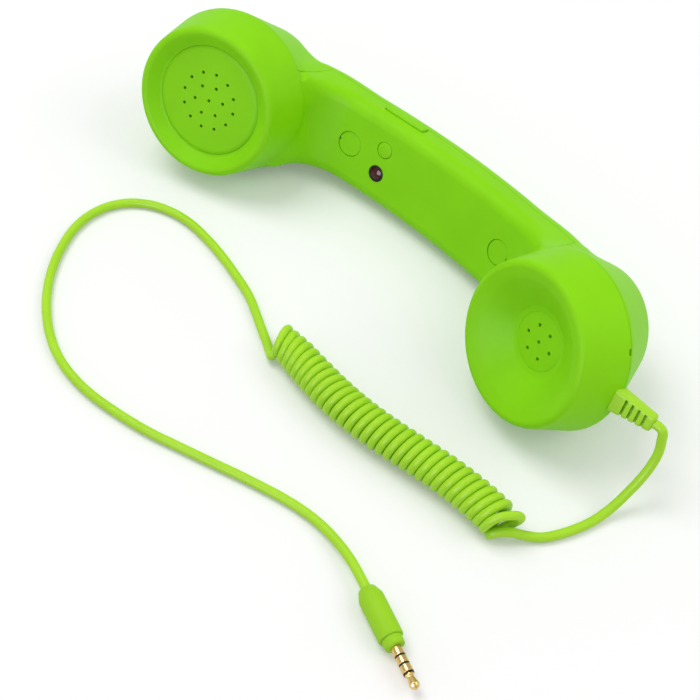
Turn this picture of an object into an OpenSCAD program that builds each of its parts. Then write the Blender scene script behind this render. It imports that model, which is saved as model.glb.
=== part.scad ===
// Corded retro handset: two tilted cups on an arched handle, a curly cord and a
// four-pole 3.5 mm plug. It lies on its side, on the seams of the cups and the back
// edge of the handle.
// Millimetres, +Z up. The origin is under the middle of the handset, on the surface.

/* [Handset] */
// Distance between the two cup centres, measured at their rims
cup_spacing = 150; // [144:1:160]
// Tilt of each cup toward the other
cup_tilt = 14; // [10:0.5:16]
// Thickness of the moulded walls
wall = 2.2; // [1.8:0.1:2.6]

/* [Cups] */
// Radius of a cup at its rim
rim_r = 27.8; // [27:0.1:29]
// Radius of a cup at the seam between its two shells
seam_r = 30; // [29:0.1:32]
// Depth of the seam behind the rim
seam_depth = 18.5; // [17:0.5:21]
// Depth of the flat back of a cup behind the rim
cup_depth = 43; // [41:0.5:46]
// Half angle of the cone behind the seam
cone_angle = 22.8; // [22:0.2:25]
// Lean of that cone's axis toward the handle
cone_lean = 12; // [8:0.5:14]
// Radius of the rounding round the flat back
back_round = 4; // [3:0.5:6]
// Depth of the cap that closes the front of a cup
cap_depth = 8; // [7:0.5:9]

/* [Earpiece] */
// Depth of the perforated disc below the rim
ear_recess = 3; // [2.5:0.1:3.6]
// Radius of the perforated disc
ear_disc_r = 19.9; // [18:0.1:20]
// Radius of the outer ring of sound holes
ear_hole_ring = 10.4; // [9:0.1:12]
// Diameter of each sound hole
ear_hole_d = 1.3; // [1:0.1:1.8]
// Turn of the hole pattern
ear_hole_turn = 10; // [0:1:30]

/* [Mouthpiece] */
// Depth of the bowl below the rim
bowl_depth = 8; // [7:0.1:9]
// Radius of the perforated disc in the bowl
mouth_disc_r = 9.7; // [9:0.1:10.5]
// Radius of the ring of sound holes
mouth_hole_ring = 5.6; // [5:0.1:7]
// Diameter of each sound hole
mouth_hole_d = 1.5; // [1:0.1:2]
// Turn of the hole pattern
mouth_hole_turn = 5; // [0:1:30]

/* [Handle] */
// Width of the handle
handle_w = 32.5; // [31:0.5:35]
// Depth of the middle of the inner face below the rims
face_depth = 41; // [40:0.5:42]
// Depth of the middle of the back below the rims
back_depth = 60; // [59:0.5:63]
// Radius of the arch of the inner face
face_arch_r = 230; // [210:5:260]
// Radius of the arch of the back
back_arch_r = 225; // [210:5:260]
// Rounding of the front edges
front_round = 5; // [4:0.5:6]
// Rounding of the back edges
rear_round = 8; // [6:0.5:9]
// Radius of the hollow where the handle rises into a cup
neck_r = 16; // [14:0.5:18]
// Extra half width of the neck at a cup
neck_flare = 1; // [0:0.5:3]

/* [Controls] */
// Distance of the answer button and lamp from the middle, toward the earpiece
control_x = 22.2; // [20:0.2:24]
// Sideways place of the answer button
button_y = 5.3; // [5:0.1:6]
// Radius of the answer button
button_r = 3; // [2.8:0.1:3.4]
// Travel of the answer button
button_travel = 0.6; // [0.3:0.1:0.7]
// Sideways place of the lamp, on the other side of the middle
lamp_y = 4.5; // [4.2:0.1:5]
// Radius of the ring round the lamp
lamp_ring_r = 3.4; // [3.2:0.1:3.6]
// Length of the volume rocker
rocker_len = 17.2; // [15:0.2:18]
// Width of the volume rocker
rocker_w = 4; // [3.6:0.1:4.4]
// Height of the rocker above the side of the handle
rocker_proud = 0.9; // [0.6:0.1:1.2]
// Distance of the two screw covers from the middle
cover_x = 36; // [35:0.2:37]
// Radius of a screw cover
cover_r = 4.7; // [4.4:0.1:5]

/* [Cord and plug] */
// Diameter of the cord
cord_d = 3.2; // [3:0.1:3.2]
// Outer diameter of the curled stretch
coil_d = 13; // [12.5:0.1:13.5]
// Diameter of the cord where it is curled
curl_cord_d = 2.4; // [2:0.05:2.45]
// Number of curls
curls = 33; // [28:1:33]
// Length of the strain relief
relief_len = 13; // [11:0.5:14]
// Diameter of the plug's grip
grip_d = 8; // [7.5:0.1:9]
// Length of the plug's grip
grip_len = 18.5; // [16:0.5:20]
// Diameter of the plug's contacts
jack_d = 3.5; // [3.4:0.05:3.6]
// Length of the plug's contacts
jack_len = 14; // [13.8:0.1:14.5]

/* [Hidden] */
$fn = 64;
shell_fn = 48;

lime = [0.50, 0.83, 0.10];
cord_lime = [0.62, 0.84, 0.22];
steel = [0.72, 0.72, 0.74];
gold = [0.85, 0.75, 0.50];
black = [0.08, 0.08, 0.08];

// Small running gap between pieces that are not fixed together
gap = 0.3;

half_w = handle_w / 2;
seam_land = 0.5;

// How far the cups and the back edge of the handle reach toward the surface at a lean
function cup_reach(a) =
    seam_r * sqrt(1 - pow(sin(a) * cos(cup_tilt), 2)) + (seam_depth + seam_land) * sin(a) * cos(cup_tilt);
function handle_reach(a) =
    (half_w - rear_round) * cos(a) + (back_depth - rear_round) * sin(a) + rear_round;

// Lean of the handset, found by halving: both cups and the handle touch the surface
function touching_lean(low, high, halvings) =
    let (middle = (low + high) / 2)
    halvings == 0 ? middle
    : cup_reach(middle) > handle_reach(middle) ? touching_lean(middle, high, halvings - 1)
    : touching_lean(low, middle, halvings - 1);
lean = touching_lean(5, 40, 40);
rest_z = cup_reach(lean);
cup_x = cup_spacing / 2;

// Beads of the two rims
ear_bead_r = (rim_r - ear_disc_r - 0.1) / 2;
ear_bead_x = rim_r - ear_bead_r;
mouth_bead_r = 3;
mouth_bead_x = rim_r - mouth_bead_r;

// The handset is centred between the front of its rims and the back of its handle
tilt_reach = sqrt(pow(sin(cup_tilt) * cos(lean), 2) + pow(sin(lean), 2));
front_reach = mouth_bead_x * tilt_reach + mouth_bead_r * (1 - cos(cup_tilt) * cos(lean));
back_reach = (half_w - rear_round) * sin(lean) + (back_depth - rear_round) * cos(lean) + rear_round;
centre_y = (back_reach - front_reach) / 2;

// ---------- frames ----------

// Places a child made in the handset's own frame (x from ear to mouth, y to the side
// with the rocker, z out of the inner face) as the handset lies on the surface
module laid() {
    translate([0, -centre_y, rest_z])
        rotate([90 - lean, 0, 0])
            children();
}

// Cup frames: z along the cup's axis, rim at z = 0
module ear_frame() {
    laid()
        translate([-cup_x, 0, 0])
            rotate([0, cup_tilt, 0])
                children();
}

module mouth_frame() {
    laid()
        translate([cup_x, 0, 0])
            rotate([0, -cup_tilt, 0])
                children();
}

// ---------- vector helpers ----------

function unit(v) = v / norm(v);
function ease(t) = t <= 0 ? 0 : t >= 1 ? 1 : t * t * (3 - 2 * t);

// Faces of a closed tube of rings of n points, as triangles
function tube_faces(rings, n) = concat(
    [for (i = [0 : rings - 2], j = [0 : n - 1])
        [i * n + j, (i + 1) * n + j, (i + 1) * n + (j + 1) % n]],
    [for (i = [0 : rings - 2], j = [0 : n - 1])
        [i * n + j, (i + 1) * n + (j + 1) % n, i * n + (j + 1) % n]],
    [for (j = [1 : n - 2]) [0, j, j + 1]],
    [for (j = [1 : n - 2]) [(rings - 1) * n, (rings - 1) * n + j + 1, (rings - 1) * n + j]]);

// ---------- handle, as a loft of rounded sections ----------

handle_end = 80;
section_step = 5;
neck_start = 40;
flare_start = 36;
flare_end = 56;
taper_start = 62;
taper_rate = 0.25;
back_rise_start = 50;
back_rise = 0.004;
corner_points = 6;
neck_reach = 0.95 * neck_r;

function neck_rise(u) =
    let (t = min(max(u - neck_start, 0), neck_reach)) neck_r - sqrt(neck_r * neck_r - t * t);
function face_z(x) = -face_depth + x * x / (2 * face_arch_r) + neck_rise(abs(x));
function back_z(x) = -back_depth + x * x / (2 * back_arch_r)
    + back_rise * pow(max(abs(x) - back_rise_start, 0), 2);
function half_width(x) = half_w
    + neck_flare * ease((abs(x) - flare_start) / (flare_end - flare_start))
    - taper_rate * max(abs(x) - taper_start, 0);

// One rounded section of the handle, drawn in by an inset
function section(x, inset) =
    let (w = half_width(x) - inset, top = face_z(x) - inset, low = back_z(x) + inset,
        rt = max(front_round - inset, 0.6), rl = max(rear_round - inset, 0.6))
    [for (k = [0 : 3], i = [0 : corner_points - 1])
        let (a = k * 90 + i * 90 / (corner_points - 1), r = k < 2 ? rt : rl,
            sy = k == 0 || k == 3 ? 1 : -1, cz = k < 2 ? top - rt : low + rl)
        [x, sy * (w - r) + r * cos(a), cz + r * sin(a)]];

// Each stretch of the handle is the hull of two neighbouring sections
module handle_loft(inset, end) {
    stretches = 2 * ceil(end / section_step);
    step = 2 * end / stretches;
    for (i = [0 : stretches - 1])
        hull()
            polyhedron(concat(section(-end + i * step, inset), section(-end + (i + 1) * step, inset)),
                tube_faces(2, 4 * corner_points));
}

// ---------- cups, as stacks of round sections ----------

// Half outline of the wall and conical back of a cup, drawn in by an inset. A narrow land
// carries the seam between the shells.
function cup_outline(inset) =
    let (rc = back_round - inset, corner_z = rc + inset - cup_depth,
        slide = (-corner_z - seam_depth + rc * sin(cone_angle)) / cos(cone_angle),
        corner_r = seam_r - inset / cos(cone_angle) - rc * cos(cone_angle) - slide * sin(cone_angle),
        top_z = inset > 0 ? 1 - cap_depth : -cap_depth)
    concat([for (i = [back_steps : -1 : 0])
            let (a = cone_angle + i * (90 - cone_angle) / back_steps)
            [corner_r + rc * cos(a), corner_z - rc * sin(a)]],
        [[seam_r - inset, -seam_land - seam_depth], [seam_r - inset, seam_land - seam_depth],
            [rim_r + 0.4 - inset, top_z]]);

back_steps = 3;

// The cone behind the seam leans toward the handle, which is on the given side
function cup_shift(z) = tan(cone_lean) * max(-seam_land - seam_depth - z, 0);

module cup_solid(inset, side) {
    outline = cup_outline(inset);
    polyhedron([for (p = outline, j = [0 : shell_fn - 1])
        let (a = 360 * j / shell_fn)
        [side * cup_shift(p[1]) + p[0] * cos(a), p[0] * sin(a), p[1]]],
        tube_faces(len(outline), shell_fn));
}

module both_cups(inset) {
    translate([-cup_x, 0, 0])
        rotate([0, cup_tilt, 0])
            cup_solid(inset, 1);
    translate([cup_x, 0, 0])
        rotate([0, -cup_tilt, 0])
            cup_solid(inset, -1);
}

// ---------- parting of the two shells ----------

part_depth = back_depth - rear_round - 0.8;
part_steps = 15;
part_drop_x = 58;
part_slope = tan(cup_tilt);
seam_mid_x = cup_x + seam_depth * sin(cup_tilt);
seam_mid_z = -seam_depth * cos(cup_tilt);
far = 140;

function seam_z(u) = seam_mid_z + (u - seam_mid_x) * part_slope;
function part_z(x) = -part_depth + x * x / (2 * back_arch_r);

// Side view of the front shell's share of the body; the back shell has the rest
module front_share(lift) {
    part_points = [for (i = [0 : part_steps])
        let (x = part_drop_x * (2 * i / part_steps - 1))
        [x, part_z(x) + lift]];
    rotate([90, 0, 0])
        translate([0, 0, -far])
            linear_extrude(2 * far)
                polygon(concat([[-far, seam_z(far) + lift], [-part_drop_x, seam_z(part_drop_x) + lift]],
                    part_points,
                    [[part_drop_x, seam_z(part_drop_x) + lift], [far, seam_z(far) + lift],
                        [far, far], [-far, far]]));
}

module body_outside() {
    both_cups(0);
    handle_loft(0, handle_end);
}

module body_inside() {
    both_cups(wall);
    handle_loft(wall, handle_end - wall);
}

// ---------- small helpers ----------

// Points of an arc about a centre, from one angle to another
function arc(cx, cz, r, from, to, steps) =
    [for (i = [0 : steps])
        let (a = from + (to - from) * i / steps)
        [cx + r * cos(a), cz + r * sin(a)]];

// Outline of a rounded bar about the origin
function bar_outline(len, width, r, steps) = concat(
    arc(len / 2 - r, width / 2 - r, r, 0, 90, steps), arc(r - len / 2, width / 2 - r, r, 90, 180, steps),
    arc(r - len / 2, r - width / 2, r, 180, 270, steps), arc(len / 2 - r, r - width / 2, r, 270, 360, steps));

// Holes of a perforated disc: one in the middle and rings of six and twelve
module sound_holes(ring_r, count, d, turn, top, bottom) {
    for (i = [0 : count - 1])
        rotate([0, 0, turn + i * 360 / count])
            translate([ring_r, 0, bottom])
                cylinder(h = top - bottom, d = d, $fn = 24);
}

// Puts a child on the arched inner face, its z axis square to the face
module on_face(x, y) {
    translate([x, y, face_z(x)])
        rotate([0, -atan(x / face_arch_r), 0])
            children();
}

// Frame of the controls: under the inner face beside the earpiece
module controls() {
    on_face(-control_x, 0)
        children();
}

// ---------- screws and bosses that join the two shells ----------

cover_t = 1.6;
cover_sink = 0.25;
recess_z = -cover_sink - cover_t;
head_r = 2.9;
head_h = 1.8;
head_z = recess_z - head_h;
shaft_r = 1.5;
shaft_end = -15;
boss_split = -8;
boss_end = face_z(cover_x) - 1 - back_z(cover_x);

module at_covers() {
    for (side = [-1, 1])
        on_face(side * cover_x, 0)
            children();
}

module front_bosses() {
    at_covers() {
        translate([0, 0, head_z - 1.5])
            cylinder(h = 4.5, r = cover_r + 1.4);
        translate([0, 0, boss_split])
            cylinder(h = 6, r = 4.2);
    }
}

module cover_cuts() {
    at_covers() {
        translate([0, 0, recess_z])
            cylinder(h = 8, r = cover_r + 0.12);
        translate([0, 0, head_z])
            cylinder(h = 4, r = head_r + 0.2);
        translate([0, 0, boss_split - 1])
            cylinder(h = 8, r = shaft_r + 0.15);
    }
}

module back_bosses() {
    at_covers()
        translate([0, 0, -boss_end])
            cylinder(h = boss_end + boss_split - 0.05, r = 4.2);
}

module back_boss_holes() {
    at_covers()
        translate([0, 0, shaft_end - 0.5])
            cylinder(h = 12, r = shaft_r + 0.1);
}

// ---------- board under the controls ----------

board_z = -7.4;
board_t = 1.2;
board_half_y = 11.2;
board_from = -8.5;
board_to = 28;
board_holes = [[-5.8, -8.8], [24, 7.5], [24, -7.5]];
board_boss_r = 2.2;
board_screw_r = 0.8;

module board_bosses() {
    controls()
        for (p = board_holes)
            translate([p[0], p[1], board_z])
                cylinder(h = -board_z - 1, r = board_boss_r, $fn = 32);
}

module board_boss_holes() {
    controls()
        for (p = board_holes)
            translate([p[0], p[1], board_z - 1])
                cylinder(h = 5, r = board_screw_r + 0.1, $fn = 32);
}

// ---------- openings of the controls ----------

rocker_z = -7.57;
rocker_out = half_w + rocker_proud;
rocker_in = 12.2;
hinge_y = 13.15;
hinge_r = 0.6;

module control_cuts() {
    controls() {
        translate([0, button_y, -5])
            cylinder(h = 8, r = button_r + gap);
        translate([0, -lamp_y, -5])
            cylinder(h = 8, r = lamp_ring_r + 0.08);
        translate([0, rocker_in - 0.4, rocker_z])
            rotate([-90, 0, 0])
                linear_extrude(8)
                    polygon(bar_outline(rocker_len + 2 * gap, rocker_w + 2 * gap, 1.3, 4));
    }
}

// ---------- cord outlet ----------

relief_droop = 6;
relief_x = cup_x + seam_r * cos(cup_tilt) + seam_depth * sin(cup_tilt);
relief_z = seam_r * sin(cup_tilt) - seam_depth * cos(cup_tilt);
relief_y = -0.4;
relief_wide = [8.6, 5.8];
relief_thick = [7, 5.5];
relief_root = -1.2;
neck_wide = 8;
neck_thick = 5.6;
neck_end = -5;
flange_t = 1.4;
flange_size = [10.2, 6.8];
slot_w = 1.1;
slot_pitch = 2.3;
slot_first = 2.2;
core_r = 1.5;
slot_edge = [0.8, 1.7];

// Half the width of the strain relief along its length
function relief_half(x) = (relief_wide[0] + (relief_wide[1] - relief_wide[0]) * x / relief_len) / 2;

module relief_frame() {
    laid()
        in_relief()
            children();
}

module in_relief() {
    translate([relief_x, relief_y, relief_z])
        rotate([0, relief_droop, 0])
            children();
}

module cord_outlet() {
    in_relief() {
        translate([relief_root - 0.1, -relief_wide[0] / 2 - 0.1, -relief_thick[0] / 2 - 0.1])
            cube([10, relief_wide[0] + 0.2, relief_thick[0] + 0.2]);
        translate([-8, -neck_wide / 2 - 0.1, -neck_thick / 2 - 0.1])
            cube([9, neck_wide + 0.2, neck_thick + 0.2]);
    }
}

// Notch in the seam of the mouthpiece cup, where the shells are prised apart
notch_turn = 30;

module pry_notch() {
    translate([cup_x, 0, 0])
        rotate([0, -cup_tilt, 0])
            rotate([0, 0, notch_turn])
                translate([seam_r - 0.7, -1.2, -seam_depth])
                    cube([2, 2.4, 0.8]);
}

// ---------- shells ----------

module front_shell() {
    color(lime)
        laid()
            difference() {
                union() {
                    intersection() {
                        difference() {
                            body_outside();
                            body_inside();
                        }
                        front_share(0);
                    }
                    front_bosses();
                    board_bosses();
                }
                cover_cuts();
                board_boss_holes();
                control_cuts();
                cord_outlet();
                pry_notch();
            }
}

rib_x = 20;
rib_t = 2;
rib_half_y = 10;
ballast_size = [50, 18, 3.5];
ballast_z = 0.8 * wall + 2 - back_depth;
ballast_screw_x = 14;

module back_shell() {
    color(lime)
        laid()
            difference() {
                union() {
                    difference() {
                        body_outside();
                        body_inside();
                        front_share(0);
                    }
                    back_bosses();
                    for (side = [-1, 1])
                        translate([side * rib_x - rib_t / 2, -rib_half_y, 1 - back_depth])
                            cube([rib_t, 2 * rib_half_y, ballast_z + back_depth - 1]);
                    for (side = [-1, 1])
                        translate([side * ballast_screw_x, 0, 1 - back_depth])
                            cylinder(h = ballast_z + back_depth - 1, r = 2.6, $fn = 32);
                }
                back_boss_holes();
                for (side = [-1, 1])
                    translate([side * ballast_screw_x, 0, 1.4 - back_depth])
                        cylinder(h = 6, r = 1.3, $fn = 32);
                cord_outlet();
            }
}

module screw_covers() {
    color(lime)
        laid()
            for (side = [-1, 1])
                on_face(side * cover_x, 0)
                    difference() {
                        translate([0, 0, recess_z])
                            cylinder(h = cover_t, r = cover_r);
                        translate([side * (cover_r - 0.2), 0, -1])
                            cylinder(h = 2, r = 0.55, $fn = 24);
                    }
}

module case_screws() {
    color(steel)
        laid()
            at_covers()
                difference() {
                    union() {
                        translate([0, 0, head_z])
                            cylinder(h = head_h - 0.05, r = head_r);
                        translate([0, 0, shaft_end])
                            cylinder(h = head_z - shaft_end + 0.5, r = shaft_r);
                    }
                    for (turn = [0, 90])
                        rotate([0, 0, turn])
                            translate([-1.6, -0.3, head_z + head_h - 1])
                                cube([3.2, 0.6, 2]);
                }
}

module ballast_bar() {
    color(steel)
        laid()
            difference() {
                translate([-ballast_size[0] / 2, -ballast_size[1] / 2, ballast_z])
                    cube(ballast_size);
                for (side = [-1, 1])
                    translate([side * ballast_screw_x, 0, ballast_z - 1])
                        cylinder(h = ballast_size[2] + 2, r = 1.3, $fn = 32);
            }
}

module ballast_screws() {
    color(steel)
        laid()
            for (side = [-1, 1])
                translate([side * ballast_screw_x, 0, 0]) {
                    translate([0, 0, ballast_z + ballast_size[2]])
                        cylinder(h = 1, r = 2.2);
                    translate([0, 0, 1.6 - back_depth])
                        cylinder(h = ballast_z + ballast_size[2] + back_depth - 1.2, r = 1.2);
                }
}

// ---------- earpiece ----------

bead_z = -ear_bead_r - 0.1;
grille_floor = min(-ear_recess - 1.6, bead_z - 0.1);
ear_under = grille_floor - 2;
spigot_r = rim_r + 0.3 - wall;
spigot_end = -cap_depth - 3.5;
spigot_t = 1.9;
ledge_w = 2.4;

module ear_cap() {
    color(lime)
        ear_frame()
            rotate_extrude()
                polygon(concat([[ear_disc_r + 0.1, grille_floor]],
                    arc(ear_bead_x, bead_z, ear_bead_r, 180, 0, 16),
                    [[rim_r + 0.4, -cap_depth], [spigot_r, -cap_depth], [spigot_r, spigot_end],
                        [spigot_r - spigot_t, spigot_end], [spigot_r - spigot_t, ear_under],
                        [ear_disc_r - ledge_w, ear_under], [ear_disc_r - ledge_w, grille_floor]]));
}

module ear_grille() {
    color(lime)
        ear_frame()
            difference() {
                translate([0, 0, grille_floor])
                    cylinder(h = -ear_recess - grille_floor, r = ear_disc_r);
                sound_holes(0, 1, ear_hole_d, 0, 0, grille_floor - 1);
                sound_holes(0.55 * ear_hole_ring, 6, ear_hole_d, ear_hole_turn, 0, grille_floor - 1);
                sound_holes(ear_hole_ring, 12, ear_hole_d, ear_hole_turn + 15, 0, grille_floor - 1);
            }
}

speaker_r = 19.5;
gasket_z = ear_under - 0.8;
flange_z = gasket_z - 1.2;
basket_z = gasket_z - 7;
magnet_z = basket_z - 1;

module ear_gasket() {
    color(black)
        ear_frame()
            rotate_extrude()
                polygon([[16, gasket_z], [speaker_r, gasket_z], [speaker_r, ear_under], [16, ear_under]]);
}

module speaker_frame() {
    color(steel)
        ear_frame()
            rotate_extrude()
                polygon([[speaker_r, gasket_z], [speaker_r, flange_z], [17.4, flange_z], [10, basket_z],
                    [10, magnet_z], [3.2, magnet_z], [3.2, basket_z], [9, basket_z], [16.4, gasket_z]]);
}

module speaker_cone() {
    color(black)
        ear_frame()
            rotate_extrude()
                polygon([[0, gasket_z - 3.2], [2, gasket_z - 3.4], [4, gasket_z - 4.4],
                    [15.2, gasket_z - 0.5],
                    [15.2, gasket_z - 1], [4.2, gasket_z - 5], [3, gasket_z - 5], [3, basket_z + 0.4],
                    [2.5, basket_z + 0.4], [2.5, gasket_z - 4.2], [0, gasket_z - 3.9]]);
}

module speaker_magnet() {
    color(steel)
        ear_frame()
            translate([0, 0, magnet_z - 5])
                cylinder(h = 5, r = 9);
}

module speaker_retainer() {
    color(black)
        ear_frame()
            rotate_extrude()
                polygon([[17.6, flange_z], [spigot_r - spigot_t - 0.1, flange_z],
                    [spigot_r - spigot_t - 0.1, flange_z - 2], [18.4, flange_z - 2]]);
}

// ---------- mouthpiece ----------

bowl_from = mouth_disc_r - 1.7;
bowl_rise = bowl_depth - mouth_bead_r;
bowl_span = mouth_bead_x - bowl_from;
bowl_r = (bowl_span * bowl_span + bowl_rise * bowl_rise - mouth_bead_r * mouth_bead_r)
    / (2 * (bowl_rise + mouth_bead_r));
bowl_centre = bowl_r - bowl_depth;
bowl_meet = atan((bowl_centre + mouth_bead_r) / bowl_span);
disc_t = 1.2;
disc_top = -bowl_depth - 0.1;
disc_floor = disc_top - disc_t;
disc_edge = mouth_disc_r + 0.1;
collar_r = 8;
boot_r = 6.5;
boot_end = disc_floor - 7.7;

module mouth_cap() {
    color(lime)
        mouth_frame()
            rotate_extrude()
                polygon(concat([[disc_edge, disc_floor]],
                    arc(bowl_from, bowl_centre, bowl_r, asin((disc_edge - bowl_from) / bowl_r) - 90,
                        -bowl_meet, 14),
                    arc(mouth_bead_x, -mouth_bead_r, mouth_bead_r, 170 - bowl_meet, 0, 12),
                    [[rim_r + 0.4, -cap_depth], [spigot_r, -cap_depth], [spigot_r, spigot_end],
                        [spigot_r - spigot_t, spigot_end], [spigot_r - spigot_t, -6]],
                    arc(bowl_from, bowl_centre, bowl_r + wall, -50, -80, 6),
                    [[collar_r + 2.4, disc_floor - 1.7], [collar_r, disc_floor - 1.7],
                        [collar_r, disc_floor - 4.7], [boot_r + 0.1, disc_floor - 4.7],
                        [boot_r + 0.1, disc_floor]]));
}

module mouth_grille() {
    color(lime)
        mouth_frame()
            difference() {
                translate([0, 0, disc_floor])
                    cylinder(h = disc_t, r = mouth_disc_r);
                sound_holes(0, 1, mouth_hole_d, 0, 0, disc_floor - 1);
                sound_holes(mouth_hole_ring, 6, mouth_hole_d, mouth_hole_turn, 0, disc_floor - 1);
            }
}

module mic_boot() {
    color(black)
        mouth_frame()
            rotate_extrude()
                polygon([[4.9, disc_floor], [boot_r, disc_floor], [boot_r, boot_end], [0, boot_end],
                    [0, boot_end + 1.2], [4.9, boot_end + 1.2]]);
}

module mic_capsule() {
    color(steel)
        mouth_frame()
            translate([0, 0, boot_end + 1.2])
                cylinder(h = 6, r = 4.85);
}

// ---------- board, switches, button, lamp and rocker ----------

module circuit_board() {
    color([0.10, 0.35, 0.15])
        laid()
            controls()
                difference() {
                    translate([board_from, -board_half_y, board_z - board_t])
                        cube([board_to - board_from, 2 * board_half_y, board_t]);
                    for (p = board_holes)
                        translate([p[0], p[1], board_z - board_t - 1])
                            cylinder(h = board_t + 2, r = board_screw_r + 0.1, $fn = 32);
                }
}

module board_screws() {
    color(steel)
        laid()
            controls()
                for (p = board_holes)
                    translate([p[0], p[1], 0]) {
                        translate([0, 0, board_z - board_t - 1])
                            cylinder(h = 1, r = 1.7);
                        translate([0, 0, board_z - board_t - 0.5])
                            cylinder(h = 5, r = board_screw_r);
                    }
}

stem_end = -3.9;

module answer_button() {
    color(lime)
        laid()
            controls()
                translate([0, button_y, 0])
                    rotate_extrude()
                        polygon([[0, 0.35], [button_r - 0.4, 0.3], [button_r, 0], [button_r, -2.5],
                            [button_r + 0.8, -2.5], [button_r + 0.8, -3.3], [1.2, -3.3], [1.2, stem_end],
                            [0, stem_end]]);
}

module answer_switch() {
    color(black)
        laid()
            controls()
                translate([0, button_y, 0]) {
                    translate([-3, -3, board_z])
                        cube([6, 6, 2]);
                    translate([0, 0, board_z + 1])
                        cylinder(h = stem_end - button_travel - 0.1 - board_z - 1, r = 1.5);
                }
}

module lamp_ring() {
    color(black)
        laid()
            controls()
                translate([0, -lamp_y, 0])
                    rotate_extrude()
                        polygon([[2.6, 0.1], [2.8, 0.3], [lamp_ring_r - 0.2, 0.3], [lamp_ring_r, 0.1],
                            [lamp_ring_r, -2.5], [lamp_ring_r + 0.8, -2.5], [lamp_ring_r + 0.8, -3.3],
                            [2.6, -3.3]]);
}

module lamp_lens() {
    color([0.30, 0.02, 0.02])
        laid()
            controls()
                translate([0, -lamp_y, 0])
                    rotate_extrude()
                        polygon(concat([[0, board_z]], [[2.5, board_z]],
                            arc(0, -3.8, 4.55, 56.7, 90, 8)));
}

module volume_rocker() {
    color(lime)
        laid()
            controls()
                difference() {
                    translate([0, 0, rocker_z])
                        rotate([-90, 0, 0]) {
                            translate([0, 0, rocker_in])
                                linear_extrude(rocker_out - 0.35 - rocker_in)
                                    polygon(bar_outline(rocker_len, rocker_w, 1, 4));
                            translate([0, 0, rocker_out - 0.4])
                                linear_extrude(0.4)
                                    polygon(bar_outline(rocker_len - 0.8, rocker_w - 0.8, 0.7, 4));
                        }
                    translate([0, hinge_y, rocker_z - 5])
                        cylinder(h = 10, r = hinge_r);
                }
}

module rocker_pin() {
    color(steel)
        laid()
            controls()
                translate([0, hinge_y, rocker_z - rocker_w / 2 - 1.6])
                    cylinder(h = rocker_w + 3.2, r = hinge_r);
}

// The bracket clips on the edge of the board and carries the rocker's pin
module rocker_bracket() {
    color(black)
        laid()
            controls()
                difference() {
                    translate([-2.5, board_half_y, rocker_z - rocker_w / 2 - 1.7])
                        cube([5, 2.5, rocker_w + 3.4]);
                    translate([-3, board_half_y + 0.6, rocker_z - rocker_w / 2 - gap])
                        cube([6, 4, rocker_w + 2 * gap]);
                    translate([0, hinge_y, rocker_z - 6])
                        cylinder(h = 12, r = hinge_r + 0.05);
                    translate([-3, board_half_y + 2.2, rocker_z])
                        cube([6, 2, 6]);
                }
}

module volume_switches() {
    color(black)
        laid()
            controls()
                for (side = [-1, 1])
                    translate([side * 6, 0, board_z]) {
                        translate([-1.7, board_half_y - 3.2, 0])
                            cube([3.4, 3.2, 2.4]);
                        translate([0, board_half_y - 0.5, 1.1])
                            rotate([-90, 0, 0])
                                cylinder(h = rocker_in - board_half_y + 0.15, r = 0.7, $fn = 32);
                    }
}

// ---------- strain relief ----------

module strain_relief() {
    color(cord_lime)
        relief_frame()
            union() {
                difference() {
                    intersection() {
                        translate([0, 0, -10])
                            linear_extrude(20)
                                polygon([[relief_root, -relief_wide[0] / 2], [0, -relief_wide[0] / 2],
                                    [relief_len, -relief_wide[1] / 2], [relief_len, relief_wide[1] / 2],
                                    [0, relief_wide[0] / 2], [relief_root, relief_wide[0] / 2]]);
                        rotate([90, 0, 0])
                            translate([0, 0, -10])
                                linear_extrude(20)
                                    polygon([[relief_root, -relief_thick[0] / 2], [0, -relief_thick[0] / 2],
                                        [relief_len, -relief_thick[1] / 2],
                                        [relief_len, relief_thick[1] / 2], [0, relief_thick[0] / 2],
                                        [relief_root, relief_thick[0] / 2]]);
                    }
                    for (i = [0 : 3])
                        let (x = slot_first + i * slot_pitch, half = relief_half(x))
                            translate([x, slot_edge[0] - half, -6])
                                cube([slot_w, 2 * half - slot_edge[0] - slot_edge[1], 12]);
                }
                rotate([0, 90, 0])
                    cylinder(h = relief_len - 1, r = core_r);
                translate([neck_end - 0.2, -neck_wide / 2, -neck_thick / 2])
                    cube([relief_root - neck_end + 0.4, neck_wide, neck_thick]);
                translate([neck_end - flange_t, -flange_size[0] / 2, -flange_size[1] / 2])
                    cube([flange_t, flange_size[0], flange_size[1]]);
            }
}

// ---------- cord ----------

cord_r = cord_d / 2;
lean_y = [0, sin(lean), cos(lean)];
lean_z = [0, -cos(lean), sin(lean)];

// A point and a direction of the handset's frame, as the handset lies on the surface
function laid_point(p) = [p[0], -centre_y, rest_z] + p[1] * lean_y + p[2] * lean_z;
function laid_dir(v) = [v[0], 0, 0] + v[1] * lean_y + v[2] * lean_z;

relief_dir = [cos(relief_droop), 0, -sin(relief_droop)];
lead_start = laid_point([relief_x, relief_y, relief_z] + relief_len * relief_dir);
lead_dir = laid_dir(relief_dir);

// Coil: its axis sways a little across the surface
coil_x = 6.5;
coil_len = 98;
coil_y = -64;
coil_sway = 2.2;
sway_len = 100;
sway_from = 18;
first_stretch = 3;
last_bulge = 4.5;
coil_first = -40;
coil_last = -95;
curl_r = (coil_d - curl_cord_d) / 2;
coil_z = coil_d / 2 + (cord_d - curl_cord_d) / 2;
curl_rings = 8;
curl_sides = 6;
coil_steps = curls * curl_rings;

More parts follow.
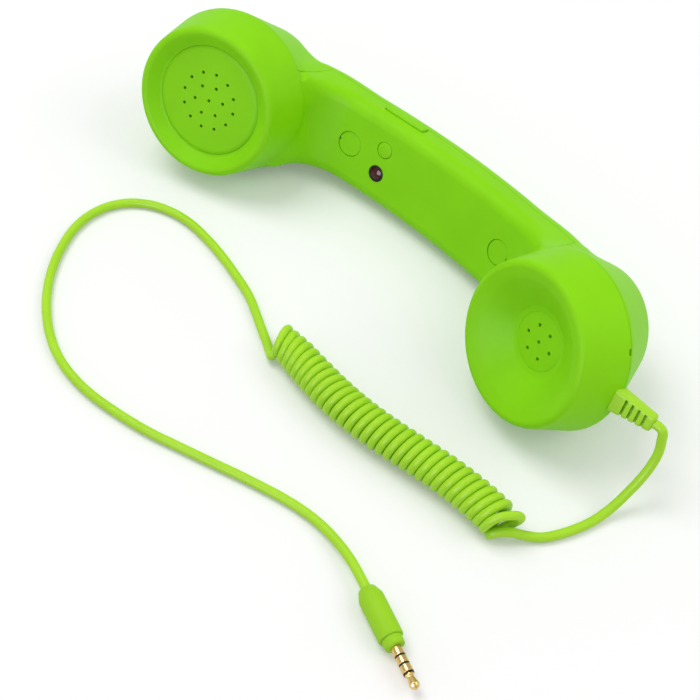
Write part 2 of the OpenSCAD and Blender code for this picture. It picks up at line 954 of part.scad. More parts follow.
function sway_at(x) = 360 * (x - sway_from) / sway_len;
function place_at(t) =
    let (s = min(max(1.25 * (1 + (t - 1) * curls) - 0.25, 0), 1))
    coil_x + coil_len * t - first_stretch * ease(1 - t * curls) + 16 * last_bulge * pow(s * (1 - s), 2);
function axis_at(t) =
    let (x = place_at(t))
    [x, coil_y - coil_sway * sin(sway_at(x)), coil_z];
function axis_dir(t) = unit([1, -coil_sway * 2 * PI / sway_len * cos(sway_at(place_at(t))), 0]);
function curl_turn(t) = coil_first + t * (360 * curls + coil_last - coil_first);
function curl_at(t) =
    let (d = axis_dir(t), a = curl_turn(t))
    axis_at(t) + curl_r * (cos(a) * [d[1], -d[0], 0] + sin(a) * [0, 0, 1]);
function curl_dir(t) = unit(curl_at(t + 0.00005) - curl_at(t - 0.00005));

// The coil's ends bend toward the two plain runs of the cord
start_dir = unit([0.7, -0.55, 0.45]);
end_dir = unit([0.1, -0.98, 0.15]);
coil_start = curl_at(0) - curl_cord_d * start_dir;
coil_end = curl_at(1) + curl_cord_d * end_dir;
coil_path = concat([coil_start], [for (i = [0 : coil_steps]) curl_at(i / coil_steps)], [coil_end]);

lead_path = concat([lead_start, lead_start + 2 * lead_dir],
    [[125.2, -13.1, 28.6], [126.2, -13.8, 25.4], [127, -14.8, 21.4], [127.1, -17.3, 16.2],
        [126.6, -20.9, 11.2], [125.9, -24.6, 7.6], [125.2, -28.6, 4.6], [124.3, -33, 2.4], [123.3, -38, 1.6],
        [122, -42.6, 1.6], [120.4, -46.8, 1.6], [118.6, -50.6, 1.6], [116.2, -54.2, 1.6],
        [113.4, -56.9, 1.6], [110.8, -59.2, 1.6], [109.3, -61.6, 1.6], [108.5, -63.6, 1.6],
        [108.1, -64.9, 1.6], [107.4, -66, 1.7], [106.4, -66.4, 1.85], [105.45, -66.1, 2]],
    [coil_end + 0.9 * end_dir, coil_end]);

plug_at = [92.8, -108.7, grip_d / 2];
plug_turn = -21.4;
plug_dir = [cos(plug_turn), sin(plug_turn), 0];

tail_path = concat([coil_start, coil_start - 0.8 * start_dir],
    [[0.1, -63.5, 1.65], [-1.7, -62.2, 1.6], [-4.6, -60.4, 1.6], [-9.1, -58, 1.6],
        [-18.8, -54.1, 1.6], [-28.8, -50.9, 1.6], [-38.9, -48.4, 1.6], [-49.3, -46.7, 1.6],
        [-59.5, -46.2, 1.6], [-68.9, -48, 1.6], [-76.9, -52.3, 1.6], [-82.5, -58.9, 1.6],
        [-85, -67.4, 1.6], [-84.1, -77, 1.6], [-80, -86.7, 1.6], [-74.2, -95.7, 1.6],
        [-66.9, -103.9, 1.6], [-58.4, -110.9, 1.6], [-49.1, -116.4, 1.6], [-39.5, -120, 1.6],
        [-30, -121.6, 1.6], [-20.8, -121.7, 1.6], [-12, -120.7, 1.6], [-3.7, -119.3, 1.6],
        [4.6, -117.4, 1.6], [12.4, -115, 1.6], [20.1, -112.6, 1.6], [27.8, -110.2, 1.6],
        [35.3, -107.8, 1.6], [43, -105.6, 1.6], [50.6, -103.6, 1.6], [58.4, -102.2, 1.6],
        [66.3, -101.8, 1.8], [74.4, -102.8, 2.6], [82.4, -104.8, 3.4]],
    [plug_at - cord_d * plug_dir, plug_at]);

// Closed tube along a path: its end rings are square to the first and last stretch
function path_dir(path, i) =
    let (last = len(path) - 1)
    i == 0 ? unit(path[1] - path[0])
    : i == last ? unit(path[last] - path[last - 1])
    : unit(unit(path[i + 1] - path[i]) + unit(path[i] - path[i - 1]));

function tube_points(path, r, sides) =
    [for (i = [0 : len(path) - 1])
        let (d = path_dir(path, i), across = unit(cross([0, 0, 1], d)), up = cross(d, across))
        for (j = [0 : sides - 1])
            path[i] + r * (cos(360 * j / sides) * across + sin(360 * j / sides) * up)];

module tube(path, d, sides) {
    polyhedron(tube_points(path, d / 2, sides), tube_faces(len(path), sides));
}

module cord_lead() {
    color(cord_lime)
        tube(lead_path, cord_d, 8);
}

module cord_tail() {
    color(cord_lime)
        tube(tail_path, cord_d, 8);
}

// Points of one curl, in the plane of the coil's radius and its axis
coil_points = [for (i = [0 : len(coil_path) - 1])
    let (t = min(max(i - 1, 0), coil_steps) / coil_steps, axis = axis_dir(t),
        d = i == 0 ? start_dir
            : i == 1 ? unit(start_dir + curl_dir(0))
            : i == coil_steps + 1 ? unit(end_dir + curl_dir(1))
            : i > coil_steps + 1 ? end_dir : curl_dir(t),
        out = unit(cross(d, axis)), side = cross(out, d))
    for (j = [0 : curl_sides - 1])
        coil_path[i] + curl_cord_d / 2 * (cos(60 * j) * side + sin(60 * j) * out)];

// Least gap between neighbouring curls, measured on the points of the tube
function ring_gap(i, k) = min([for (a = [0 : curl_sides - 1], b = [0 : curl_sides - 1])
    norm(coil_points[i * curl_sides + a] - coil_points[k * curl_sides + b])]);
curl_gap = min([for (i = [0 : 3 : coil_steps - curl_rings - 2], k = [i + curl_rings - 1 : i + curl_rings + 1])
    ring_gap(i, k)]);

module cord_coil() {
    echo(curl_gap = curl_gap);
    color(cord_lime)
        polyhedron(coil_points, tube_faces(len(coil_path), curl_sides));
}

// ---------- plug ----------

collar_len = 3.6;
band_w = 0.6;
band_z = [2.4, 5.3, 8.3];
pin_core_r = 0.9;
pin_r = jack_d / 2;
tip_from = band_z[2] + band_w;

// Plug frame: z along the plug, from the end of the grip at z = 0 to the tip
module plug_frame() {
    translate(plug_at)
        rotate([0, 0, plug_turn])
            rotate([0, 90, 0])
                children();
}

module contact_frame() {
    plug_frame()
        translate([0, 0, grip_len + collar_len])
            children();
}

module plug_grip() {
    color(cord_lime)
        plug_frame()
            rotate_extrude()
                polygon(concat([[0, 0], [1.7, 0]], arc(grip_d / 2 - 2.3, 2.3, 2.3, -80, 0, 8),
                    [[grip_d / 2, grip_len - 0.5], [grip_d / 2 - 0.5, grip_len], [0, grip_len]]));
}

module plug_collar() {
    color(gold)
        plug_frame()
            translate([0, 0, grip_len])
                rotate_extrude()
                    polygon([[0, 0], [3.7, 0], [3.7, 0.6], [2.95, collar_len - 0.3], [2.65, collar_len],
                        [0, collar_len]]);
}

// A contact of the plug: a tube over the insulating core
module contact(from, to) {
    color(gold)
        contact_frame()
            rotate_extrude()
                polygon([[pin_core_r, from], [pin_r, from], [pin_r, to], [pin_core_r, to]]);
}

module plug_sleeve() {
    contact(0, band_z[0]);
}

module plug_ring_rear() {
    contact(band_z[0] + band_w, band_z[1]);
}

module plug_ring_front() {
    contact(band_z[1] + band_w, band_z[2]);
}

module plug_tip() {
    color(gold)
        contact_frame()
            rotate_extrude()
                polygon([[pin_core_r, tip_from], [pin_r, tip_from], [pin_r, tip_from + 0.9],
                    [pin_r - 0.45, tip_from + 1.9], [pin_r - 0.15, tip_from + 2.9],
                    [pin_r - 0.35, jack_len - 1.2], [0.5, jack_len - 0.1], [0, jack_len],
                    [0, tip_from + 1.5], [pin_core_r, tip_from + 1.5]]);
}

module plug_insulators() {
    color(black)
        contact_frame() {
            cylinder(h = tip_from + 1.5, r = pin_core_r);
            for (z = band_z)
                translate([0, 0, z])
                    cylinder(h = band_w, r = pin_r);
        }
}

front_shell();
back_shell();
ear_cap();
ear_grille();
ear_gasket();
speaker_frame();
speaker_cone();
speaker_magnet();
speaker_retainer();
mouth_cap();
mouth_grille();
mic_boot();
mic_capsule();
circuit_board();
board_screws();
answer_button();
answer_switch();
volume_rocker();
rocker_pin();
rocker_bracket();
volume_switches();
lamp_ring();
lamp_lens();
screw_covers();
case_screws();
ballast_bar();
ballast_screws();
strain_relief();
cord_lead();
cord_coil();
cord_tail();
plug_grip();
plug_collar();
plug_sleeve();
plug_ring_rear();
plug_ring_front();
plug_tip();
plug_insulators();
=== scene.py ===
import math

import bpy
import numpy as np
from mathutils import Matrix, Vector


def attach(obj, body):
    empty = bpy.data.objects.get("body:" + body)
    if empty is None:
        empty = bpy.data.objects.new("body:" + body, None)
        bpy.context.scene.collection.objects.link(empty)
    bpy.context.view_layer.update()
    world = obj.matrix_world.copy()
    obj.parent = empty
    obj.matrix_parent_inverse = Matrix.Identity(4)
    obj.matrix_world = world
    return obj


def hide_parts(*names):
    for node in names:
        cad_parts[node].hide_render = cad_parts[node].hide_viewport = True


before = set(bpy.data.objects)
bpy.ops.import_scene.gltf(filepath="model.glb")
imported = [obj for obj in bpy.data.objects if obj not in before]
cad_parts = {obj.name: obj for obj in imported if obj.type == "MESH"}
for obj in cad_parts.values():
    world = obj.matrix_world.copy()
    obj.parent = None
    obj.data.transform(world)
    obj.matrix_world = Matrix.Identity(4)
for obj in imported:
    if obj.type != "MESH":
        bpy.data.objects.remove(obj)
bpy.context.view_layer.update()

MM = 0.001
TINY = 1e-9

bpy.context.scene.view_settings.view_transform = "Standard"

# ---------- sizes, in millimetres, as in the CAD ----------

# the handset's own frame has its origin midway between the centres of the two rims, x along the
# handle toward the mouthpiece, y upward as it lies, and z out of the rims

# the cups: place and lean of their axes, the seam round each, and its straight land
CUP_X, CUP_DEGREES = 75.0, 14
TILT = math.radians(CUP_DEGREES)
SEAM_R, SEAM_DEPTH, SEAM_LAND, CUP_DEPTH = 30.0, 18.5, 0.5, 43.0
# the handle: half its width, the depths of its face and back, and twice their radii
HALF_W, FACE_DEPTH, BACK_DEPTH, ARCH, BACK_ARCH = 16.25, 41.0, 60.0, 460.0, 450.0
FRONT_ROUND, REAR_ROUND = 5.0, 8.0
# the rise of its face into the cups, along a part of a circle
NECK_R, NECK_START, NECK_SHARE = 16.0, 40.0, 0.95
# what reaches farthest to the front: the bead round a rim
FRONT_REACH_R, FRONT_BEAD_R = 24.8, 3.0
LEAN_LOW, LEAN_HIGH, LEAN_HALVINGS = 5, 40, 40


def cup_reach(a):
    s = math.sin(a) * math.cos(TILT)
    return SEAM_R * math.sqrt(1 - s * s) + (SEAM_DEPTH + SEAM_LAND) * s


def handle_reach(a):
    return ((HALF_W - REAR_ROUND) * math.cos(a) + (BACK_DEPTH - REAR_ROUND) * math.sin(a)
            + REAR_ROUND)


def touching_lean():
    """The lean at which the cups' seams and the handle's back edge both touch the floor."""
    low, high = math.radians(LEAN_LOW), math.radians(LEAN_HIGH)
    for _ in range(LEAN_HALVINGS):
        middle = (low + high) / 2
        if cup_reach(middle) > handle_reach(middle):
            low = middle
        else:
            high = middle
    return (low + high) / 2


LEAN = touching_lean()
REST_Z = cup_reach(LEAN)
TILT_REACH = math.hypot(math.sin(TILT) * math.cos(LEAN), math.sin(LEAN))
FRONT_REACH = FRONT_REACH_R * TILT_REACH + FRONT_BEAD_R * (1 - math.cos(TILT) * math.cos(LEAN))
BACK_REACH = ((HALF_W - REAR_ROUND) * math.sin(LEAN) + (BACK_DEPTH - REAR_ROUND) * math.cos(LEAN)
              + REAR_ROUND)
CENTRE_Y = (BACK_REACH - FRONT_REACH) / 2


# ---------- frames: 4x4 matrices from a local frame, in millimetres ----------

def turn(axis, degrees):
    return Matrix.Rotation(math.radians(degrees), 4, axis)


def move(x, y, z):
    return Matrix.Translation((x, y, z))


TO_METRES = Matrix.Scale(MM, 4)
LAID = move(0, -CENTRE_Y, REST_Z) @ turn("X", 90 - math.degrees(LEAN))
EAR = LAID @ move(-CUP_X, 0, 0) @ turn("Y", CUP_DEGREES)
MOUTH = LAID @ move(CUP_X, 0, 0) @ turn("Y", -CUP_DEGREES)


def mapped(points, matrix):
    m = np.array(matrix)
    return points @ m[:3, :3].T + m[:3, 3]


def turned(vectors, matrix):
    return vectors @ np.array(matrix)[:3, :3].T


def linked(name, data):
    """A new object in the scene."""
    obj = bpy.data.objects.new(name, data)
    bpy.context.scene.collection.objects.link(obj)
    return obj


# ---------- camera, in metres ----------

CAMERA_AT = (0.2492, -0.30833, 0.41959)
CAMERA_FORWARD, CAMERA_RIGHT = (-0.4173, 0.4843, -0.7690), (0.7048, 0.7067, 0.0625)

cam_data = bpy.data.cameras.new("camera")
cam_data.lens = 82.29
cam_data.sensor_width = 36
cam_data.clip_start = 0.01
camera = linked("camera", cam_data)
bpy.context.scene.camera = camera
forward = Vector(CAMERA_FORWARD).normalized()
up = Vector(CAMERA_RIGHT).normalized().cross(forward).normalized()
right = forward.cross(up).normalized()
camera.matrix_world = (Matrix.Translation(CAMERA_AT)
                       @ Matrix((right, up, -forward)).transposed().to_4x4())

# ---------- materials ----------

DRIFT_DETAIL, GRAIN_DETAIL = 3, 2
DRIFT_FROM, DRIFT_TO = 0.3, 0.7  # the noise's values between which the colour changes
ROUGH_SPREAD, LEAST_ROUGH = 0.06, 0.02
GRAIN_STRENGTH = 0.6


def material(name, colour, roughness, metallic=0.0, tint=0.04, tint_scale=60.0, grain=4000.0,
             grain_depth=0.00002, specular=0.5, coat=0.0):
    """A moulded or plated surface: a base colour that drifts a little, a fine grain in the bump,
    and a roughness that varies over the surface."""
    m = bpy.data.materials.new(name)
    m.use_nodes = True
    nodes, links = m.node_tree.nodes, m.node_tree.links
    shader = nodes["Principled BSDF"]
    shader.inputs["Metallic"].default_value = metallic
    shader.inputs["Specular IOR Level"].default_value = specular
    shader.inputs["Coat Weight"].default_value = coat
    place = nodes.new("ShaderNodeTexCoord")

    def noise(scale, detail):
        node = nodes.new("ShaderNodeTexNoise")
        node.inputs["Scale"].default_value = scale
        node.inputs["Detail"].default_value = detail
        links.new(place.outputs["Object"], node.inputs["Vector"])
        return node.outputs["Fac"]

    drift = noise(tint_scale, DRIFT_DETAIL)
    ramp = nodes.new("ShaderNodeValToRGB")
    dark, light = ramp.color_ramp.elements
    dark.position, light.position = DRIFT_FROM, DRIFT_TO
    dark.color = [c * (1 - tint) for c in colour] + [1]
    light.color = [min(1, c * (1 + tint)) for c in colour] + [1]
    links.new(drift, ramp.inputs["Fac"])
    links.new(ramp.outputs["Color"], shader.inputs["Base Color"])
    spread = nodes.new("ShaderNodeMapRange")
    spread.inputs["To Min"].default_value = max(roughness - ROUGH_SPREAD, LEAST_ROUGH)
    spread.inputs["To Max"].default_value = roughness + ROUGH_SPREAD
    links.new(drift, spread.inputs["Value"])
    links.new(spread.outputs["Result"], shader.inputs["Roughness"])
    bump = nodes.new("ShaderNodeBump")
    bump.inputs["Strength"].default_value = GRAIN_STRENGTH
    bump.inputs["Distance"].default_value = grain_depth
    links.new(noise(grain, GRAIN_DETAIL), bump.inputs["Height"])
    links.new(bump.outputs["Normal"], shader.inputs["Normal"])
    return m


def srgb(*levels):
    """Linear colour of an sRGB one given in 0 to 255, by the standard's curve."""
    def linear(c):
        c /= 255
        return c / 12.92 if c <= 0.04045 else ((c + 0.055) / 1.055) ** 2.4
    return [linear(c) for c in levels]


LIME = material("soft_touch_lime", srgb(134, 212, 11), 0.46, tint=0.03, specular=0.1)
CORD = material("cord_rubber", srgb(166, 219, 42), 0.36, tint=0.03, grain=2500, specular=0.2)
MOULD = material("moulded_rubber", srgb(152, 207, 40), 0.45, tint=0.03, grain=3000,
                 specular=0.1)
GOLD = material("gold_plate", srgb(222, 190, 124), 0.18, metallic=1.0, tint=0.05, grain=9000,
                grain_depth=0.000001)
STEEL = material("steel", srgb(190, 190, 194), 0.3, metallic=1.0, grain=7000,
                 grain_depth=0.000006)
BLACK_RUBBER = material("black_rubber", srgb(24, 24, 24), 0.6, grain=3000)
BLACK = material("black_plastic", srgb(14, 12, 12), 0.32, grain=3500, specular=0.3)
BOARD = material("board", srgb(25, 92, 48), 0.35, grain=2500, coat=0.3)
LAMP = material("lamp_red", srgb(66, 0, 18), 0.1, tint=0.1, tint_scale=500, grain=1500,
                specular=0.35)


# ---------- mesh helpers ----------

def unit_rows(v):
    return v / np.maximum(np.linalg.norm(v, axis=1, keepdims=True), TINY)


class Mesh:
    """Points, unit normals and faces in a local frame, in millimetres."""

    def __init__(self, points, normals, faces):
        self.points, self.normals, self.faces = points, normals, faces

    def joined(self, other):
        return Mesh(np.vstack([self.points, other.points]),
                    np.vstack([self.normals, other.normals]),
                    np.vstack([self.faces, other.faces + len(self.points)]))

    def moved(self, matrix):
        return Mesh(mapped(self.points, matrix), turned(self.normals, matrix), self.faces)


def piece(name, stands_for, mesh, matrix, surface, body="handset"):
    """A mesh of the given frame as an object that rides on a body and replaces a CAD node."""
    data = bpy.data.meshes.new(name)
    points = mapped(mesh.points, TO_METRES @ matrix)
    data.from_pydata(points.tolist(), [], mesh.faces.tolist())
    data.polygons.foreach_set("use_smooth", [True] * len(data.polygons))
    data.update()
    data.normals_split_custom_set_from_vertices(turned(mesh.normals, matrix).tolist())
    data.materials.append(surface)
    obj = linked(name, data)
    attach(obj, body)
    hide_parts(stands_for)
    return obj


def arc(cx, cz, r, start, end, steps):
    a = np.radians(np.linspace(start, end, steps + 1))
    return np.column_stack([cx + r * np.cos(a), cz + r * np.sin(a)])


def filleted(corners, steps=5):
    """A profile through corners (x, z, radius), each rounded by its own radius."""
    out = []
    last = len(corners) - 1
    for i, (x, z, r) in enumerate(corners):
        p = np.array([x, z])
        if i in (0, last) or r == 0:
            out.append(p)
            continue
        a = np.array(corners[i - 1][:2]) - p
        b = np.array(corners[i + 1][:2]) - p
        a, b = a / np.linalg.norm(a), b / np.linalg.norm(b)
        half = math.acos(max(-1, min(1, a @ b))) / 2
        reach = r / math.tan(half)
        centre = p + (a + b) / np.linalg.norm(a + b) * r / math.sin(half)
        s, e = p + a * reach - centre, p + b * reach - centre
        sweep = math.pi - 2 * half
        side = 1 if s[0] * e[1] - s[1] * e[0] > 0 else -1
        for k in range(steps + 1):
            t = side * sweep * k / steps
            out.append(centre + np.array([s[0] * math.cos(t) - s[1] * math.sin(t),
                                          s[0] * math.sin(t) + s[1] * math.cos(t)]))
    return np.array(out)


AXIS_R = 1e-4  # stands for the axis itself, so that no two points of a lathe coincide


def lathe(profile, segments):
    """Revolves a profile (radius, z), listed with its solid on the left, into triangles."""
    step = np.diff(profile, axis=0)
    step /= np.maximum(np.linalg.norm(step, axis=1, keepdims=True), TINY)
    tangent = np.vstack([step[:1], step[:-1] + step[1:], step[-1:]])
    tangent /= np.linalg.norm(tangent, axis=1, keepdims=True)
    a = np.linspace(0, 2 * math.pi, segments, endpoint=False)

    def swept(radial, axial):
        return np.stack([np.outer(radial, np.cos(a)), np.outer(radial, np.sin(a)),
                         np.outer(axial, np.ones(segments))], -1).reshape(-1, 3)

    points = swept(np.maximum(profile[:, 0], AXIS_R), profile[:, 1])
    normals = swept(tangent[:, 1], -tangent[:, 0])
    i = np.arange(len(profile) - 1)[:, None] * segments
    j, k = np.arange(segments)[None, :], (np.arange(segments)[None, :] + 1) % segments
    one = np.stack([i + j, i + k, i + segments + k], -1).reshape(-1, 3)
    two = np.stack([i + j, i + segments + k, i + segments + j], -1).reshape(-1, 3)
    return Mesh(points, normals, np.vstack([one, two]))


def spun(corners, steps=6, segments=96):
    """A revolved profile through rounded corners (radius, z, rounding)."""
    return lathe(filleted(corners, steps), segments)


CORNERS = [(a, b, c) for a in (0, 1) for b in (0, 1) for c in (0, 1)]
NET_ROUNDS, ONTO_ROUNDS, ONTO_SHARE = 2, 2, 0.5
SLOPE_STEP, LEAST_SLOPE, RELAX_SHARE = 0.02, 1e-6, 0.5


def surface_net(field, low, high, step):
    """Triangles of the surface field = 0 in a box, their points moved onto the surface."""
    counts = [int(math.ceil((high[k] - low[k]) / step)) + 1 for k in range(3)]
    axes = [low[k] + step * np.arange(counts[k]) for k in range(3)]
    grid = np.empty(counts, np.float32)
    y, z = np.meshgrid(axes[1], axes[2], indexing="ij")
    for i, x in enumerate(axes[0]):
        p = np.column_stack([np.full(y.size, x), y.ravel(), z.ravel()])
        grid[i] = field(p).reshape(y.shape)
    inside = grid < 0
    n = [c - 1 for c in counts]
    corner = {o: grid[o[0]:o[0] + n[0], o[1]:o[1] + n[1], o[2]:o[2] + n[2]] for o in CORNERS}
    count = sum((corner[o] < 0).astype(np.int8) for o in CORNERS)
    active = (count > 0) & (count < len(CORNERS))
    index = np.full(n, -1, np.int64)
    index[active] = np.arange(active.sum())
    total, hits = np.zeros((active.sum(), 3)), np.zeros(active.sum())
    for o in CORNERS:
        for axis in range(3):
            if o[axis]:
                continue
            q = tuple(1 if k == axis else o[k] for k in range(3))
            fa, fb = corner[o][active], corner[q][active]
            cross = (fa < 0) != (fb < 0)
            add = np.tile(np.array(o, float), (cross.sum(), 1))
            add[:, axis] = fa[cross] / (fa[cross] - fb[cross])
            total[cross] += add
            hits[cross] += 1
    points = np.array(low) + step * (np.argwhere(active) + total / hits[:, None])
    faces = []
    for axis in range(3):
        u, v = (axis + 1) % 3, (axis + 2) % 3
        s = np.moveaxis(inside, (axis, u, v), (0, 1, 2))
        cells = np.moveaxis(index, (axis, u, v), (0, 1, 2))
        a, b = s[:-1, 1:-1, 1:-1], s[1:, 1:-1, 1:-1]
        for changes, order in ((a & ~b, 1), (~a & b, -1)):
            i, j, k = np.nonzero(changes)
            quad = [cells[i, j, k], cells[i, j + 1, k], cells[i, j + 1, k + 1],
                    cells[i, j, k + 1]][::order]
            faces.append(np.column_stack([quad[0], quad[1], quad[2]]))
            faces.append(np.column_stack([quad[0], quad[2], quad[3]]))
    faces = np.vstack(faces)
    for _ in range(NET_ROUNDS):
        points = onto(field, points, step)
        points = onto(field, relaxed(points, faces), step)
    return points, faces


def slope(field, points):
    out = np.empty_like(points)
    for k in range(3):
        d = np.zeros(3)
        d[k] = SLOPE_STEP
        out[:, k] = (field(points + d) - field(points - d)) / (2 * SLOPE_STEP)
    return out


def onto(field, points, step):
    """The points moved to field = 0, by no more than a share of the grid's step at a time."""
    for _ in range(ONTO_ROUNDS):
        g = slope(field, points)
        size = np.maximum((g * g).sum(1), LEAST_SLOPE)
        shift = -(field(points) / size)[:, None] * g
        length = np.linalg.norm(shift, axis=1, keepdims=True)
        points = points + shift * np.minimum(1, ONTO_SHARE * step / np.maximum(length, TINY))
    return points


def relaxed(points, faces):
    """Each point moved part of the way to the mean of its neighbours."""
    total, count = np.zeros_like(points), np.zeros(len(points))
    for a, b in ((0, 1), (1, 2), (2, 0)):
        for p, q in ((faces[:, a], faces[:, b]), (faces[:, b], faces[:, a])):
            for k in range(3):
                total[:, k] += np.bincount(p, points[q, k], len(points))
            count += np.bincount(p, minlength=len(points))
    mean = total / np.maximum(count, 1)[:, None]
    return points * (1 - RELAX_SHARE) + mean * RELAX_SHARE


def netted(field, low, high, step):
    points, faces = surface_net(field, low, high, step)
    return Mesh(points, unit_rows(slope(field, points)), faces)


CUT_HALVINGS = 14


def rolled(faces, first):
    """Faces with their corners turned round so that the given one comes first."""
    return np.take_along_axis(faces, (np.arange(3)[None, :] + first[:, None]) % 3, 1)


def clipped(points, faces, keep):
    """The part of a triangle mesh where keep(points) >= 0, cut along keep = 0."""
    value = keep(points)
    inside = value >= 0
    count = inside[faces].sum(1)
    one, two = faces[count == 1], faces[count == 2]
    one = rolled(one, np.argmax(inside[one], axis=1))
    two = rolled(two, np.argmin(inside[two], axis=1) + 1)
    sides = [(one[:, 0], one[:, 1]), (one[:, 0], one[:, 2]),
             (two[:, 1], two[:, 2]), (two[:, 2], two[:, 0])]
    pairs = np.vstack([np.column_stack([np.minimum(p, q), np.maximum(p, q)]) for p, q in sides])
    unique, place = np.unique(pairs, axis=0, return_inverse=True)
    place = place.ravel() + len(points)
    a, b = points[unique[:, 0]], points[unique[:, 1]]
    low, high = np.zeros(len(unique)), np.ones(len(unique))
    start = value[unique[:, 0]] >= 0
    for _ in range(CUT_HALVINGS):
        mid = (low + high) / 2
        same = (keep(a + mid[:, None] * (b - a)) >= 0) == start
        low, high = np.where(same, mid, low), np.where(same, high, mid)
    new = a + ((low + high) / 2)[:, None] * (b - a)
    e = np.split(place, np.cumsum([len(one), len(one), len(two)]))
    faces = np.vstack([faces[count == 3],
                       np.column_stack([one[:, 0], e[0], e[1]]),
                       np.column_stack([two[:, 0], two[:, 1], e[2]]),
                       np.column_stack([two[:, 0], e[2], e[3]])])
    points = np.vstack([points, new])
    used = np.zeros(len(points), bool)
    used[faces] = True
    number = np.cumsum(used) - 1
    return points[used], number[faces]


def near_zero(keep, reach):
    """A test for points on the cut that keep made."""
    return lambda p: np.abs(keep(p)) < reach


def lips(mesh, on_border, direction, depth):
    """A wall that drops from a border of the mesh, where an opening or a seam cuts it, in one
    direction or, where that is None, against the surface's normals."""
    faces = mesh.faces
    edge = np.vstack([faces[:, [0, 1]], faces[:, [1, 2]], faces[:, [2, 0]]])
    key = np.sort(edge, axis=1)
    _, first, count = np.unique(key, axis=0, return_index=True, return_counts=True)
    border = edge[first[count == 1]]
    border = border[on_border(mesh.points[border[:, 0]]) & on_border(mesh.points[border[:, 1]])]
    ids, place = np.unique(border, return_inverse=True)
    n = len(ids)
    i, j = place.reshape(border.shape).T
    top = mesh.points[ids]
    down = -mesh.normals[ids] if direction is None else np.tile(np.array(direction, float), (n, 1))
    side = np.cross(unit_rows(top[j] - top[i]), -down[i])
    wall = np.zeros((n, 3))
    for k in range(3):
        wall[:, k] += np.bincount(i, side[:, k], n) + np.bincount(j, side[:, k], n)
    wall = unit_rows(wall)
    quads = np.vstack([np.column_stack([j, i, i + n]), np.column_stack([j, i + n, j + n])])
    return Mesh(np.vstack([top, top + depth * down]), np.vstack([wall, wall]), quads)


# ---------- the handset's outer form ----------

def ease(t):
    t = np.clip(t, 0, 1)
    return t * t * (3 - 2 * t)


def smooth_min(a, b, k):
    h = np.maximum(k - np.abs(a - b), 0) / k
    return np.minimum(a, b) - h * h * k / 4


def smooth_max(a, b, k):
    return -smooth_min(-a, -b, k)


def rounded(a, b, r):
    """Distance from a corner of radius r, a and b counted from the centre of its rounding."""
    return np.minimum(np.maximum(a, b), 0) + np.hypot(np.maximum(a, 0), np.maximum(b, 0)) - r


def bar_distance(a, b, long, wide, r):
    return rounded(np.abs(a) - long / 2 + r, np.abs(b) - wide / 2 + r, r)


WIDEN_FROM, WIDEN_OVER = 36, 20  # the handle grows 1 mm wider on each side
NARROW_FROM, NARROWING = 62, 0.25  # and narrows again inside the cups
BACK_BEND_FROM, BACK_BEND = 50, 0.004  # from there its back rises faster
FULLER = 0.15  # half of what it is fuller by on its upper side, as it lies
RISE_STEP = 0.05
HANDLE_END, END_BLEND = 80, 2


def neck_rise(u):
    t = np.clip(u - NECK_START, 0, NECK_SHARE * NECK_R)
    return NECK_R - np.sqrt(NECK_R * NECK_R - t * t)


def face_z(x):
    return -FACE_DEPTH + x * x / ARCH + neck_rise(np.abs(x))


def back_z(x):
    bend = BACK_BEND * np.maximum(np.abs(x) - BACK_BEND_FROM, 0) ** 2
    return -BACK_DEPTH + x * x / BACK_ARCH + bend


def half_width(x):
    u = np.abs(x)
    return (HALF_W + ease((u - WIDEN_FROM) / WIDEN_OVER)
            - NARROWING * np.maximum(u - NARROW_FROM, 0))


def handle_field(p):
    x, y, z = p[:, 0], p[:, 1], p[:, 2]
    top, low = face_z(x), back_z(x)
    middle, high = (top + low) / 2, (top - low) / 2
    r = np.where(z > middle, FRONT_ROUND, REAR_ROUND)
    qy = np.abs(y - FULLER) - half_width(x) - FULLER + r
    qz = np.abs(z - middle) - high + r
    rise = np.where(z > middle,
                    (face_z(x + RISE_STEP) - face_z(x - RISE_STEP)) / (2 * RISE_STEP), 0)
    d = rounded(qy, qz, r) / np.sqrt(1 + rise * rise * (qz > qy))
    return smooth_max(d, np.abs(x) - HANDLE_END, END_BLEND)


# a cup widens down to its seam and narrows behind it along a cone, which leans by an amount
# of its own, toward the handle and upward, for each millimetre of depth
WALL_SLOPE, CONE_SLOPE = 1.75 / 10.5, math.tan(math.radians(22.8))
WALL_COS, CONE_COS = 1 / math.hypot(1, WALL_SLOPE), 1 / math.hypot(1, CONE_SLOPE)
EAR_LEAN, MOUTH_LEAN = (0.173, 0.015), (0.2, 0.008)
SEAM_BLEND, BACK_BLEND, RIM_BLEND = 0.8, 3.0, 2.0


def cup_axes(p):
    """Distance toward the handle and height in the frame of the nearer cup."""
    u = CUP_X - np.abs(p[:, 0])
    height = u * math.sin(TILT) + p[:, 2] * math.cos(TILT)
    across = u * math.cos(TILT) - p[:, 2] * math.sin(TILT)
    return across, height


def cup_field(p):
    across, h = cup_axes(p)
    down = -SEAM_DEPTH - h
    side = (np.hypot(across, p[:, 1]) - SEAM_R - WALL_SLOPE * down) * WALL_COS
    below = down - SEAM_LAND
    lean = np.where(p[:, :1] > 0, MOUTH_LEAN, EAR_LEAN) * np.maximum(below, 0)[:, None]
    leaned = np.hypot(across - lean[:, 0], p[:, 1] - lean[:, 1])
    cone = (leaned - SEAM_R + CONE_SLOPE * below) * CONE_COS
    back = down - (CUP_DEPTH - SEAM_DEPTH)
    d = smooth_max(side, cone, SEAM_BLEND)
    d = smooth_max(d, back, BACK_BLEND)
    return smooth_max(d, h, RIM_BLEND)


